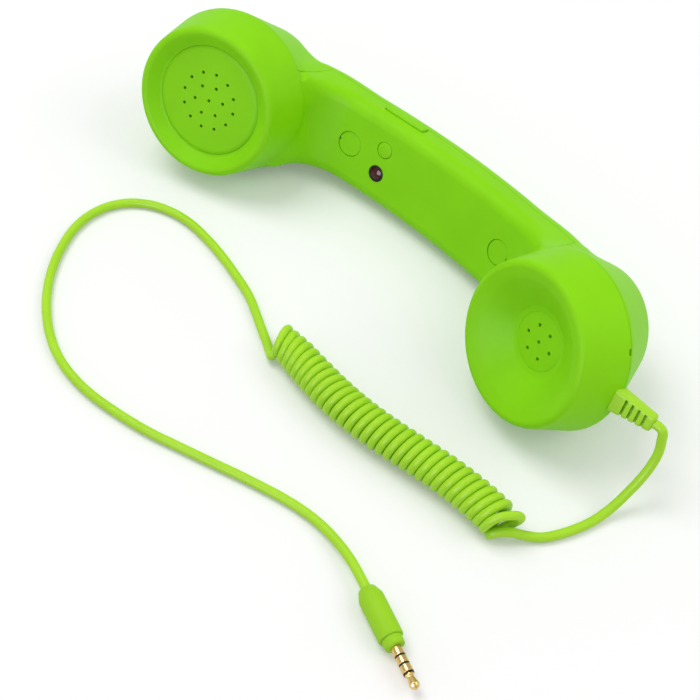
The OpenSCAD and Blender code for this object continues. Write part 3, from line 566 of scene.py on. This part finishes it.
# the fillet where the handle meets a cup: its least, and what the lower and the upper side
# add as the handset lies; each grows from a height in y, and from a depth, over a stretch
FILLET = 1.2
LOWER_FILLET, LOWER_Y, LOWER_Y_OVER, LOWER_H, LOWER_H_OVER = 8.5, 4, 16, -10, 12
UPPER_EAR_FILLET, UPPER_MOUTH_FILLET = 4.0, 7.0
UPPER_Y, UPPER_Y_OVER, UPPER_H, UPPER_H_OVER = 2, 10, -18, 6


def body_field(p):
    y, h = p[:, 1], cup_axes(p)[1]
    lower = (LOWER_FILLET
             * ease((LOWER_Y - y) / LOWER_Y_OVER) * ease((LOWER_H - h) / LOWER_H_OVER))
    upper = (np.where(p[:, 0] > 0, UPPER_MOUTH_FILLET, UPPER_EAR_FILLET)
             * ease((y - UPPER_Y) / UPPER_Y_OVER) * ease((UPPER_H - h) / UPPER_H_OVER))
    return smooth_min(cup_field(p), handle_field(p), FILLET + lower + upper)


# ---------- front and back shell, with their openings ----------

GRID = 0.8
FINE_GRID = 0.2
skin = surface_net(body_field, (-112, -33, -63), (112, 33, 3), GRID)

CAP_H = -8.0
SEAM_MID_X = CUP_X + SEAM_DEPTH * math.sin(TILT)
SEAM_MID_Z = -SEAM_DEPTH * math.cos(TILT)
PART_RISE, PART_X = 0.8, 58.0  # the seam along the handle: over its back edge, and its end
PART_DEPTH = BACK_DEPTH - REAR_ROUND - PART_RISE
SEAM_GAP, SEAM_WALL, SKIN_EDGE = 0.08, 1.2, 0.02


def below_cap(p):
    return CAP_H - cup_axes(p)[1]


def parting(p):
    """Height over the seam between the shells, which runs round the cups and along the handle."""
    x = np.abs(p[:, 0])
    seam = p[:, 2] - (SEAM_MID_Z + (x - SEAM_MID_X) * math.tan(TILT))
    side = p[:, 2] - (-PART_DEPTH + x * x / BACK_ARCH)
    return np.maximum(seam, np.minimum(side, PART_X - x))


def on_face(x):
    """Frame on the arched inner face, its z axis square to the face."""
    lean = -math.degrees(math.atan(x / (ARCH / 2)))
    return move(x, 0, float(face_z(np.array(x)))) @ turn("Y", lean)


def local(p, matrix):
    return mapped(p, matrix.inverted())


COVER_X, COVER_R, CONTROL_X = 36.0, 4.7, -22.2
BUTTON_Y, BUTTON_R, LAMP_Y, LAMP_R = 5.3, 3.0, -4.5, 3.05
ROCKER_Z, ROCKER_LEN, ROCKER_W, ROCKER_OUT, ROCKER_IN = -7.57, 17.2, 4.0, HALF_W + 1.2, 12.2
COVER_GAP, BUTTON_GAP, LAMP_GAP, ROCKER_GAP, ROCKER_HOLE_ROUND = 0.07, 0.14, 0.08, 0.5, 1.3
NOTCH_TURN, NOTCH_RISE, NOTCH_LEN, NOTCH_W, NOTCH_ROUND = 30, 0.35, 2.2, 0.9, 0.3
COVER_WALL, CONTROL_WALL, ROCKER_WALL, NOTCH_WALL = 1.6, 2.0, 3.0, 0.9
# an opening counts near the face, or beyond a distance to its side; elsewhere it is far off
FACE_REACH, ROCKER_BEYOND, NOTCH_BEYOND, FAR_OFF = 6, 10, 25, 9.0
CONTROL = on_face(CONTROL_X)
COVER_FRAMES = [on_face(-COVER_X), on_face(COVER_X)]
NOTCH = move(CUP_X, 0, 0) @ turn("Y", -CUP_DEGREES) @ turn("Z", NOTCH_TURN)


def round_hole(matrix, y, r):
    def keep(p):
        q = local(p, matrix)
        return np.where(np.abs(q[:, 2]) < FACE_REACH, np.hypot(q[:, 0], q[:, 1] - y) - r, FAR_OFF)
    return keep


def rocker_hole(p):
    q = local(p, CONTROL)
    bar = bar_distance(q[:, 0], q[:, 2] - ROCKER_Z, ROCKER_LEN + ROCKER_GAP,
                       ROCKER_W + ROCKER_GAP, ROCKER_HOLE_ROUND)
    return np.where(q[:, 1] > ROCKER_BEYOND, bar, FAR_OFF)


def notch_hole(p):
    q = local(p, NOTCH)
    bar = bar_distance(q[:, 1], q[:, 2] + SEAM_DEPTH - NOTCH_RISE, NOTCH_LEN, NOTCH_W,
                       NOTCH_ROUND)
    return np.where(q[:, 0] > NOTCH_BEYOND, bar, FAR_OFF)


def inward(matrix):
    return -np.array(matrix)[:3, 2]


# each opening: its test, the direction of its wall and the wall's depth
OPENINGS = [(round_hole(at, 0, COVER_R + COVER_GAP), inward(at), COVER_WALL)
            for at in COVER_FRAMES]
OPENINGS += [(round_hole(CONTROL, y, r), inward(CONTROL), CONTROL_WALL)
             for y, r in ((BUTTON_Y, BUTTON_R + BUTTON_GAP), (LAMP_Y, LAMP_R + LAMP_GAP))]
OPENINGS += [(rocker_hole, (0, -1, 0), ROCKER_WALL), (notch_hole, None, NOTCH_WALL)]


def shell(sign, openings):
    """The skin on one side of the seam: in front of it for 1, behind it for -1."""
    def past_seam(p):
        return sign * parting(p) - SEAM_GAP

    points, faces = skin
    for keep in [past_seam, below_cap] + [opening[0] for opening in openings]:
        points, faces = clipped(points, faces, keep)
    base = mesh = Mesh(points, unit_rows(slope(body_field, points)), faces)
    for keep, direction, depth in [(past_seam, None, SEAM_WALL)] + openings:
        mesh = mesh.joined(lips(base, near_zero(keep, SKIN_EDGE), direction, depth))
    return mesh


piece("front_skin", "front_shell", shell(1, OPENINGS), LAID, LIME)
piece("back_skin", "back_shell", shell(-1, []), LAID, LIME)

# ---------- caps and perforated discs ----------

WALL_ANGLE = math.degrees(math.atan(WALL_SLOPE))
SPIGOT_R, SPIGOT_IN, SPIGOT_END, SPIGOT_ROUND = 25.9, 25.9 - 1.9, -11.5, 0.3
EAR_DISC_R, EAR_RECESS, MOUTH_DISC_R, BOWL_DEPTH = 19.9, 3.0, 9.7, 8.0
EAR_EDGE, MOUTH_EDGE, EAR_UNDER = EAR_DISC_R + 0.04, MOUTH_DISC_R + 0.05, -6.6
CREST_R, CREST_STEPS, CAP_SEGMENTS = 1.9, 28, 192
EAR_FALL, MOUTH_FALL = 39, 20  # degrees by which the crest has turned down at its end


def wall_r(h):
    return SEAM_R + WALL_SLOPE * (-SEAM_DEPTH - h)


# the crest is a bead whose outside runs on into the wall
CREST_X = wall_r(-CREST_R) - CREST_R / WALL_COS
SPIGOT = [(SPIGOT_IN, SPIGOT_END, SPIGOT_ROUND), (SPIGOT_R, SPIGOT_END, SPIGOT_ROUND),
          (SPIGOT_R, CAP_H, 0)]
# two points close together keep the corner over the wall sharp
CAP_EDGE = [[wall_r(h), h] for h in (CAP_H, CAP_H + 0.03)]


def cap(under, fall, face, steps):
    """A cap: its underside, spigot and outer wall, the crest, and the face within the crest."""
    f = math.radians(fall)
    crest_end = (CREST_X - CREST_R * math.sin(f), -CREST_R * (1 - math.cos(f)), 0)
    return lathe(np.vstack([
        filleted(under + SPIGOT), CAP_EDGE,
        arc(CREST_X, -CREST_R, CREST_R, WALL_ANGLE, 90 + fall, CREST_STEPS),
        filleted([crest_end] + face, steps)[1:]]), CAP_SEGMENTS)


ear_cap = cap([(EAR_DISC_R - 2, EAR_UNDER, 0), (SPIGOT_IN, EAR_UNDER, 0.2)], EAR_FALL,
              [(20.6, -3.5, 1.5), (EAR_EDGE, -3.55, 0.05), (EAR_EDGE, -5.6, 0)], 8)
piece("ear_rim", "ear_cap", ear_cap, EAR, LIME)
mouth_cap = cap([(MOUTH_EDGE, -9.6, 0), (SPIGOT_IN, -9.0, 0.5)], MOUTH_FALL,
                [(21.0, -1.7, 9.0), (11.4, -7.75, 3.0), (MOUTH_EDGE, -8.12, 0.12),
                 (MOUTH_EDGE, -9.2, 0)], 16)
piece("mouth_rim", "mouth_cap", mouth_cap, MOUTH, LIME)

DISC_SPACING, DISC_RIM_POINTS, DISC_MIDDLE, DISC_SEGMENTS = 0.45, 9, 0.02, 180
HOLE_WALL, HOLE_EDGE = 1.2, 0.01
STRAIGHT_DOWN = (0, 0, -1)


def perforated(radius, top, drop, edge, dip, hole_r, rings):
    """A round disc with sound holes in rings (radius, number, first angle) and at its middle,
    its edge rounded off by a dip, and a wall down each hole."""
    flat_r = radius - edge
    s = np.linspace(1, 0, DISC_RIM_POINTS)
    rim = np.column_stack([flat_r + edge * s, top - dip * s * s])
    count = int(radius / DISC_SPACING)
    flat = np.column_stack([np.linspace(flat_r, DISC_MIDDLE, count), np.full(count, top)])
    mesh = lathe(np.vstack([[[radius, top - drop]], rim, flat[1:]]), DISC_SEGMENTS)
    points, faces = mesh.points, mesh.faces
    centres = [(0.0, 0.0)]
    for ring_r, number, start in rings:
        for i in range(number):
            a = math.radians(start + i * 360 / number)
            centres.append((ring_r * math.cos(a), ring_r * math.sin(a)))
    holes = [lambda p, c=c: np.hypot(p[:, 0] - c[0], p[:, 1] - c[1]) - hole_r for c in centres]
    for keep in holes:
        points, faces = clipped(points, faces, keep)
    normals = np.tile([0.0, 0.0, 1.0], (len(points), 1))
    r = np.hypot(points[:, 0], points[:, 1])
    out = r > flat_r
    lean = np.clip((r[out] - flat_r) / edge, 0, 1) * 2 * dip / edge
    normals[out, 0] = lean * points[out, 0] / r[out]
    normals[out, 1] = lean * points[out, 1] / r[out]
    normals[points[:, 2] < top - dip - HOLE_EDGE, 2] = 0
    base = disc = Mesh(points, unit_rows(normals), faces)
    for keep in holes:
        disc = disc.joined(lips(base, near_zero(keep, HOLE_EDGE), STRAIGHT_DOWN, HOLE_WALL))
    return disc


ear_disc = perforated(radius=EAR_DISC_R - 0.06, top=-EAR_RECESS, drop=1.6, edge=1.6, dip=0.5,
                      hole_r=0.62, rings=[(5.7, 6, 15.5), (10.4, 12, 30.5)])
piece("ear_disc", "ear_grille", ear_disc, EAR, LIME)
mouth_disc = perforated(radius=MOUTH_DISC_R + 0.02, top=-BOWL_DEPTH - 0.02, drop=1.1, edge=0.6,
                        dip=0.12, hole_r=0.66, rings=[(5.6, 6, -3.5)])
piece("mouth_disc", "mouth_grille", mouth_disc, MOUTH, LIME)

# ---------- covers, button, lamp and rocker ----------

COVER_LOW, COVER_TOP, COVER_MIDDLE = -1.85, -0.2, -0.3
COVER_EDGE, COVER_RIM, COVER_MIDDLE_R, COVER_RINGS, COVER_SEGMENTS = 0.42, 1.4, 0.02, 10, 128
NICK_R, NICK_IN, NICK_WALL = 0.5, 0.15, 1.0


def cover(side):
    """A screw cover, slightly dished, with a nick in its edge on one side."""
    profile = filleted([(COVER_R, COVER_LOW, 0), (COVER_R, COVER_TOP, COVER_EDGE),
                        (COVER_R - COVER_RIM, COVER_TOP, 0.8),
                        (COVER_MIDDLE_R, COVER_MIDDLE, 0)], 6)
    inner = np.column_stack([np.linspace(profile[-2][0], COVER_MIDDLE_R, COVER_RINGS),
                             np.linspace(profile[-2][1], COVER_MIDDLE, COVER_RINGS)])
    mesh = lathe(np.vstack([profile[:-1], inner[1:]]), COVER_SEGMENTS)
    at = side * (COVER_R - NICK_IN)

    def nick(p):
        return np.hypot(p[:, 0] - at, p[:, 1]) - NICK_R

    points, faces = clipped(mesh.points, mesh.faces, nick)
    r = np.hypot(points[:, 0], points[:, 1])
    lean = np.clip((r - COVER_R + COVER_EDGE) / COVER_EDGE, 0, 1)
    normals = unit_rows(np.column_stack([lean * points[:, 0] / r, lean * points[:, 1] / r,
                                         np.sqrt(np.maximum(1 - lean * lean, 0))]))
    base = Mesh(points, normals, faces)
    return base.joined(lips(base, near_zero(nick, HOLE_EDGE), STRAIGHT_DOWN, NICK_WALL))


covers = cover(-1).moved(COVER_FRAMES[0]).joined(cover(1).moved(COVER_FRAMES[1]))
piece("cover_discs", "screw_covers", covers, LAID, LIME)

FLANGE_LOW, FLANGE_TOP = -3.3, -2.5
BUTTON_FLANGE, STEM_R, STEM_END = 3.8, 1.2, -3.9
LAMP_FLANGE, LAMP_BORE, LENS_R, LENS_END = 4.0, 2.35, 2.3, -7.4
DOME_Z, DOME_R, DOME_FROM, DOME_STEPS = -3.8, 4.48, 59.1, 16
button = spun([(0, STEM_END, 0), (STEM_R, STEM_END, 0.1), (STEM_R, FLANGE_LOW, 0.1),
               (BUTTON_FLANGE, FLANGE_LOW, 0.15), (BUTTON_FLANGE, FLANGE_TOP, 0.15),
               (BUTTON_R, FLANGE_TOP, 0.1), (BUTTON_R, 0.12, 0.45), (1.4, 0.3, 2.0),
               (0, 0.33, 0)])
piece("button_top", "answer_button", button, LAID @ CONTROL @ move(0, BUTTON_Y, 0), LIME,
      body="answer_button")

LAMP_FRAME = LAID @ CONTROL @ move(0, LAMP_Y, 0)
bezel = spun([(LAMP_BORE, FLANGE_LOW, 0), (LAMP_FLANGE, FLANGE_LOW, 0.1),
              (LAMP_FLANGE, FLANGE_TOP, 0.1), (LAMP_R, FLANGE_TOP, 0.1), (LAMP_R, 0.25, 0.3),
              (LAMP_BORE, 0.2, 0.2), (LAMP_BORE, FLANGE_LOW + 0.1, 0)])
piece("lamp_bezel", "lamp_ring", bezel, LAMP_FRAME, BLACK)
lens = lathe(np.vstack([
    [[0.0, LENS_END]],
    filleted([(0.5, LENS_END, 0), (LENS_R - 0.05, LENS_END, 0.2), (LENS_R, -0.05, 0)]),
    arc(0, DOME_Z, DOME_R, DOME_FROM, 90, DOME_STEPS)]), 96)
piece("lamp_dome", "lamp_lens", lens, LAMP_FRAME, LAMP)

ROCKER_ROUND, ROCKER_DISH, ROCKER_DISH_X = 1.2, 0.1, 8.0
ROCKER_TOP_BLEND, ROCKER_FOOT_BLEND = 0.7, 0.5
DIMPLE_X, DIMPLE_RISE, DIMPLE_R, DIMPLE_BLEND = 5.4, 0.75, 0.95, 0.25


def rocker_field(p):
    x, y, z = p[:, 0], p[:, 1], p[:, 2] - ROCKER_Z
    bar = bar_distance(x, z, ROCKER_LEN, ROCKER_W, ROCKER_ROUND)
    top = y - ROCKER_OUT - ROCKER_DISH * (np.abs(x) / ROCKER_DISH_X) ** 2 + ROCKER_DISH
    d = smooth_max(smooth_max(bar, top, ROCKER_TOP_BLEND), ROCKER_IN - y, ROCKER_FOOT_BLEND)
    for side in (-1, 1):
        dimple = np.hypot(np.hypot(x - side * DIMPLE_X, z), y - ROCKER_OUT - DIMPLE_RISE) - DIMPLE_R
        d = smooth_max(d, -dimple, DIMPLE_BLEND)
    return d


rocker = netted(rocker_field, (-9.2, 12, -10), (9.2, 17.6, -5.2), FINE_GRID)
piece("rocker_cap", "volume_rocker", rocker, LAID @ CONTROL, LIME, body="volume_rocker")

# ---------- strain relief ----------

RELIEF_X = CUP_X + SEAM_R * math.cos(TILT) + SEAM_DEPTH * math.sin(TILT)
RELIEF_Z = SEAM_R * math.sin(TILT) - SEAM_DEPTH * math.cos(TILT)
RELIEF_Y, RELIEF_TURN = -0.9, 6
RELIEF = move(RELIEF_X, RELIEF_Y, RELIEF_Z) @ turn("Y", RELIEF_TURN)
# how far the sleeve reaches out of the cup and into it, its section and how that tapers
RELIEF_LEN, RELIEF_IN = 13.3, 1.6
RELIEF_W, RELIEF_W_TAPER, RELIEF_T, RELIEF_T_TAPER, RELIEF_ROUND = 8.6, 2.8, 5.2, 1.0, 1.5
RELIEF_TIP_BLEND, RELIEF_BLEND, SLOT_BLEND = 1.0, 0.4, 0.3
# slots in both faces, open on the lower side, with a web between them and the cord inside
SLOT_COUNT, SLOT_FROM, SLOT_PITCH, SLOT_HALF, SLOT_EDGE, WEB_HALF = 4, 2.95, 2.45, 0.4, 1.2, 0.5
CORE_R, CORE_MIDDLE, CORE_HALF = 0.9, 6, 6.4


def relief_field(p):
    x, y, z = p[:, 0], p[:, 1], p[:, 2]
    t = np.clip(x / RELIEF_LEN, -0.1, 1)
    wide, thick = RELIEF_W - RELIEF_W_TAPER * t, RELIEF_T - RELIEF_T_TAPER * t
    sleeve = bar_distance(y, z, wide, thick, RELIEF_ROUND)
    sleeve = smooth_max(sleeve, x - RELIEF_LEN, RELIEF_TIP_BLEND)
    sleeve = smooth_max(sleeve, -RELIEF_IN - x, RELIEF_BLEND)
    for i in range(SLOT_COUNT):
        along = np.abs(x - SLOT_FROM - SLOT_PITCH * i) - SLOT_HALF
        slot = np.maximum(np.maximum(along, y - wide / 2 + SLOT_EDGE), WEB_HALF - np.abs(z))
        sleeve = smooth_max(sleeve, -slot, SLOT_BLEND)
    core = np.maximum(np.hypot(y, z) - CORE_R, np.abs(x - CORE_MIDDLE) - CORE_HALF)
    return smooth_min(sleeve, core, RELIEF_BLEND)


relief = netted(relief_field, (-2.2, -5.4, -3.6), (14.0, 5.4, 3.6), FINE_GRID)
relief_piece = piece("relief_sleeve", "strain_relief", relief, LAID @ RELIEF, CORD)

# ---------- plug ----------

PLUG_AT, PLUG_TURN = (92.8, -108.7, 4.0), -21.4
GRIP_LEN, GRIP_R, COLLAR_LEN, COLLAR_SHOWN = 18.5, 4.0, 3.6, 3.0
PLUG = move(*PLUG_AT) @ turn("Z", PLUG_TURN) @ turn("Y", 90)
CONTACTS = PLUG @ move(0, 0, GRIP_LEN + COLLAR_LEN)
grip = spun([(0, 0, 0), (1.75, 0, 0.3), (2.8, 0.6, 1.2), (GRIP_R, 3.6, 3.6),
             (GRIP_R, GRIP_LEN, 0.5), (0, GRIP_LEN, 0)], steps=10)
grip_piece = piece("grip_sleeve", "plug_grip", grip, PLUG, MOULD)
collar = spun([(0, 0.01, 0), (3.3, 0.01, 0.1), (3.2, 2.6, 0.4), (2.9, COLLAR_SHOWN, 0.3),
               (0, COLLAR_SHOWN, 0)])
collar_piece = piece("collar_ring", "plug_collar", collar, PLUG @ move(0, 0, GRIP_LEN), MOULD)

BAND_AT, BAND_W = (2.4, 5.3, 8.3), 0.6
INNER_R, CONTACT_R, CONTACT_ROUND, BAND_R, BAND_ROUND = 0.9, 1.75, 0.08, 1.72, 0.1
CONTACT_SEGMENTS, INNER_SEGMENTS = 72, 48
SLEEVE_FROM, TIP_FROM, TIP_END = -0.6, BAND_AT[2] + BAND_W, 14.0


def contact_ring(r, start, end, edge):
    return spun([(INNER_R, start, 0), (r, start, edge), (r, end, edge), (INNER_R, end, 0)], 4,
                CONTACT_SEGMENTS)


for name, start, end in (("sleeve", SLEEVE_FROM, BAND_AT[0]),
                         ("ring_rear", BAND_AT[0] + BAND_W, BAND_AT[1]),
                         ("ring_front", BAND_AT[1] + BAND_W, BAND_AT[2])):
    contact = contact_ring(CONTACT_R, start, end, CONTACT_ROUND)
    piece("contact_" + name, "plug_" + name, contact, CONTACTS, GOLD)
tip = spun([(INNER_R, TIP_FROM, 0), (1.5, TIP_FROM, 0.08), (1.45, TIP_FROM + 0.5, 0.15),
            (1.05, TIP_FROM + 0.9, 0.3), (1.62, TIP_FROM + 3.5, 0.5), (1.3, 13.3, 0.5),
            (0.5, 13.9, 0.3), (0.0, TIP_END, 0)], 8, CONTACT_SEGMENTS)
piece("contact_tip", "plug_tip", tip, CONTACTS, GOLD)
bands = spun([(0, 0.1, 0), (INNER_R, 0.1, 0), (INNER_R, TIP_FROM + 0.8, 0),
              (0, TIP_FROM + 0.8, 0)], 5, INNER_SEGMENTS)
for z in BAND_AT:
    bands = bands.joined(contact_ring(BAND_R, z, z + BAND_W, BAND_ROUND))
bands_piece = piece("insulator_bands", "plug_insulators", bands, CONTACTS, BLACK)

# ---------- cord: one curve from the strain relief through the curls to the plug ----------

CORD_D, CURLS, CURL_R, COIL_Z = 3.2, 32, 5.25, 6.85
POINTS_PER_CURL, CURL_THICKNESS = 16, 0.93  # the second as a share of the cord's
COIL_X, COIL_LEN, COIL_Y = 6.2, 100.3, -63.8
COIL_SWAY, SWAY_LEN, SWAY_FROM = 2.2, 100.0, 18.0
COIL_FIRST, COIL_LAST = -40.0, -95.0  # angles at which the coil begins and ends
# the first curls, at the tail's end: drawn out, narrower and tilted forward, over some curls
FIRST_STRETCH, FIRST_TAPER, TAPER_CURLS = 0.3, 0.12, 4
FIRST_TILT, CURL_TILT, TILT_CURLS, TILT_SHARE = (2.9, 0.4), (-0.4, 1.2), 10, 0.3
# the last curl stands open: how far, and over which part of the curl
LAST_BULGE, BULGE_RATE, BULGE_DELAY, BULGE_PEAK = 2.6, 1.6, 0.6, 1 / 16


def fading(t, curls):
    """1 at the first curl, falling to 0 over a number of curls."""
    return float(ease(np.array(1 - t * CURLS / curls)))


def coil_point(t):
    """A point of the coil, from its tail end at t = 0 to its lead end at t = 1."""
    s = min(max(BULGE_RATE * (1 + (t - 1) * CURLS) - BULGE_DELAY, 0), 1)
    x = (COIL_X + COIL_LEN * t - FIRST_STRETCH * fading(t, 1)
         + LAST_BULGE / BULGE_PEAK * (s * (1 - s)) ** 2)
    r = CURL_R * (1 - FIRST_TAPER * fading(t, TAPER_CURLS))
    phase = 2 * math.pi * (x - SWAY_FROM) / SWAY_LEN
    d = Vector((1, -COIL_SWAY * 2 * math.pi / SWAY_LEN * math.cos(phase), 0)).normalized()
    a = math.radians(COIL_FIRST + t * (360 * CURLS + COIL_LAST - COIL_FIRST))
    w = fading(t, TILT_CURLS)
    later = TILT_SHARE + (1 - TILT_SHARE) * t
    tilt = [w * first + (1 - w) * later * rest for first, rest in zip(FIRST_TILT, CURL_TILT)]
    x += tilt[0] * math.cos(a) + tilt[1] * math.sin(a)
    return (Vector((x, COIL_Y - COIL_SWAY * math.sin(phase), COIL_Z - CURL_R + r))
            + r * (math.cos(a) * Vector((d.y, -d.x, 0)) + math.sin(a) * Vector((0, 0, 1))))


def laid(*points):
    """Points of the cord's route; one without a height lies on the floor."""
    return [Vector((x, y, *(height or [CORD_D / 2]))) for x, y, *height in points]


LEAD_STRAIGHT, PLUG_SINK = 2, 0.5  # the route runs straight out of the sleeve, into the grip
lead_start = LAID @ RELIEF @ Vector((RELIEF_LEN, 0, 0))
lead_dir = (LAID @ RELIEF).to_3x3() @ Vector((1, 0, 0))
plug_dir = PLUG.to_3x3() @ Vector((0, 0, 1))
LEAD = laid(
    (125.2, -13.1, 28.6), (126.2, -13.8, 25.4), (127, -14.8, 21.4), (127.1, -17.3, 16.2),
    (126.6, -20.9, 11.2), (125.9, -24.6, 7.6), (125.2, -28.6, 4.6), (124.3, -33, 2.4),
    (123.3, -38), (122, -42.6), (120.4, -46.8), (118.6, -50.6), (116.4, -54.1),
    (113.5, -57.3, 2.4), (111.5, -59.6, 3.6), (109.9, -61.4, 4.6), (108.2, -63.2, 4.9),
    (107.0, -64.4, 4.7), (105.9, -65.6, 4.2), (105.2, -66.1, 3.2), (104.8, -65.5, 2.2),
    (104.9, -64.2))
TAIL = laid(
    (7.6, -67.6, 3.9), (7.0, -67.3, 2.6), (5.9, -66.6, 1.8), (4.0, -65.5), (0.4, -63.5),
    (-4.8, -60.9), (-11.1, -57.6), (-18.4, -54.1), (-28.8, -50.9), (-38.9, -48.4),
    (-49.3, -46.7), (-59.5, -46.2), (-68.9, -48), (-76.9, -52.3), (-82.5, -58.9),
    (-85, -67.4), (-84.1, -77), (-80, -86.7), (-74.2, -95.7), (-66.9, -103.9),
    (-58.4, -110.9), (-49.1, -116.4), (-39.5, -120), (-30, -121.6), (-20.8, -121.7),
    (-12, -120.7), (-3.7, -119.3), (4.6, -117.4), (12.4, -115), (20.1, -112.6),
    (27.8, -110.2), (35.3, -107.8), (43, -105.6), (50.6, -103.6), (58.4, -102.2),
    (66.3, -101.8, 1.8), (74.4, -102.8, 2.6), (82.4, -104.8, 3.4))
coil_steps = CURLS * POINTS_PER_CURL
coil = [coil_point(1 - i / coil_steps) for i in range(coil_steps)]
before = [lead_start, lead_start + LEAD_STRAIGHT * lead_dir] + LEAD
route = before + coil + TAIL + [Vector(PLUG_AT) - CORD_D * plug_dir,
                                Vector(PLUG_AT) + PLUG_SINK * plug_dir]
in_coil = range(len(before), len(before) + coil_steps)

curve = bpy.data.curves.new("cord_line", "CURVE")
curve.dimensions = "3D"
curve.bevel_depth = CORD_D / 2 * MM
curve.bevel_resolution = 5
curve.resolution_u = 4
curve.use_fill_caps = True
spline = curve.splines.new("BEZIER")
spline.bezier_points.add(len(route) - 1)
for i, (point, at) in enumerate(zip(spline.bezier_points, route)):
    point.co = at * MM
    point.radius = CURL_THICKNESS if i in in_coil else 1.0
    point.handle_left_type = point.handle_right_type = "AUTO"
curve.materials.append(CORD)
cord = linked("cord_line", curve)
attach(cord, "handset")
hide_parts("cord_lead", "cord_coil", "cord_tail")

# ---------- finish of the CAD nodes that still show ----------

NODE_SURFACES = [
    (STEEL, ["speaker_frame", "speaker_magnet", "mic_capsule", "board_screws", "rocker_pin",
             "case_screws", "ballast_bar", "ballast_screws"]),
    (BLACK_RUBBER, ["ear_gasket", "mic_boot"]),
    (BLACK, ["speaker_cone", "speaker_retainer", "answer_switch", "rocker_bracket",
             "volume_switches"]),
    (BOARD, ["circuit_board"])]
for surface, names in NODE_SURFACES:
    for name in names:
        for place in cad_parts[name].material_slots:
            place.material = surface

# ---------- floor, world and light, in metres and watts ----------

FLOOR_HALF, FLOOR_Z, FLOOR_SHADE, FLOOR_GLOW = 3, -0.0003, 0.8, 0.13
WORLD_LIGHT, WORLD_SEEN = 0.66, 0.97  # the world's strength as light and as background


def backdrop_material(name, shade, glow):
    """Matt paper that also glows a little where the camera, a reflection or glass sees it."""
    m = bpy.data.materials.new(name)
    m.use_nodes = True
    nodes, links = m.node_tree.nodes, m.node_tree.links
    nodes.clear()

    def worked_out(operation, first, second):
        node = nodes.new("ShaderNodeMath")
        node.operation = operation
        links.new(first, node.inputs[0])
        if isinstance(second, float):
            node.inputs[1].default_value = second
        else:
            links.new(second, node.inputs[1])
        return node.outputs[0]

    rays = nodes.new("ShaderNodeLightPath").outputs
    seen = worked_out("MAXIMUM", rays["Is Camera Ray"], rays["Is Glossy Ray"])
    seen = worked_out("MAXIMUM", seen, rays["Is Transmission Ray"])
    diffuse = nodes.new("ShaderNodeBsdfDiffuse")
    diffuse.inputs["Color"].default_value = (shade, shade, shade, 1)
    emission = nodes.new("ShaderNodeEmission")
    links.new(worked_out("MULTIPLY", seen, glow), emission.inputs["Strength"])
    add = nodes.new("ShaderNodeAddShader")
    links.new(diffuse.outputs[0], add.inputs[0])
    links.new(emission.outputs[0], add.inputs[1])
    out = nodes.new("ShaderNodeOutputMaterial")
    links.new(add.outputs[0], out.inputs["Surface"])
    return m


floor_data = bpy.data.meshes.new("floor")
floor_data.from_pydata([(-FLOOR_HALF, -FLOOR_HALF, 0), (FLOOR_HALF, -FLOOR_HALF, 0),
                        (FLOOR_HALF, FLOOR_HALF, 0), (-FLOOR_HALF, FLOOR_HALF, 0)], [],
                       [(0, 1, 2, 3)])
floor_data.materials.append(backdrop_material("floor_paper", FLOOR_SHADE, FLOOR_GLOW))
floor = linked("floor", floor_data)
floor.location = (0, 0, FLOOR_Z)

world = bpy.data.worlds.new("studio")
bpy.context.scene.world = world
world.use_nodes = True
nodes, links = world.node_tree.nodes, world.node_tree.links
background = nodes["Background"]
background.inputs["Color"].default_value = (1, 1, 1, 1)
path = nodes.new("ShaderNodeLightPath")
level = nodes.new("ShaderNodeMapRange")
level.inputs["To Min"].default_value = WORLD_LIGHT
level.inputs["To Max"].default_value = WORLD_SEEN
links.new(path.outputs["Is Camera Ray"], level.inputs["Value"])
links.new(level.outputs["Result"], background.inputs["Strength"])


def area(name, place, target, size, power):
    data = bpy.data.lights.new(name, "AREA")
    data.shape = "SQUARE"
    data.size = size
    data.energy = power
    light = linked(name, data)
    light.location = place
    light.rotation_euler = (Vector(target) - Vector(place)).to_track_quat("-Z", "Y").to_euler()
    return light


area("key", (-0.45, -0.2, 1.2), (0, -0.03, 0.02), size=0.7, power=6.5)
area("fill", (0.75, 0.45, 0.9), (0, -0.03, 0.02), size=0.8, power=3)
rims = area("rims", (0.22, -0.8, 0.36), (0, -0.03, 0.03), size=0.6, power=9)
rims.visible_diffuse = False
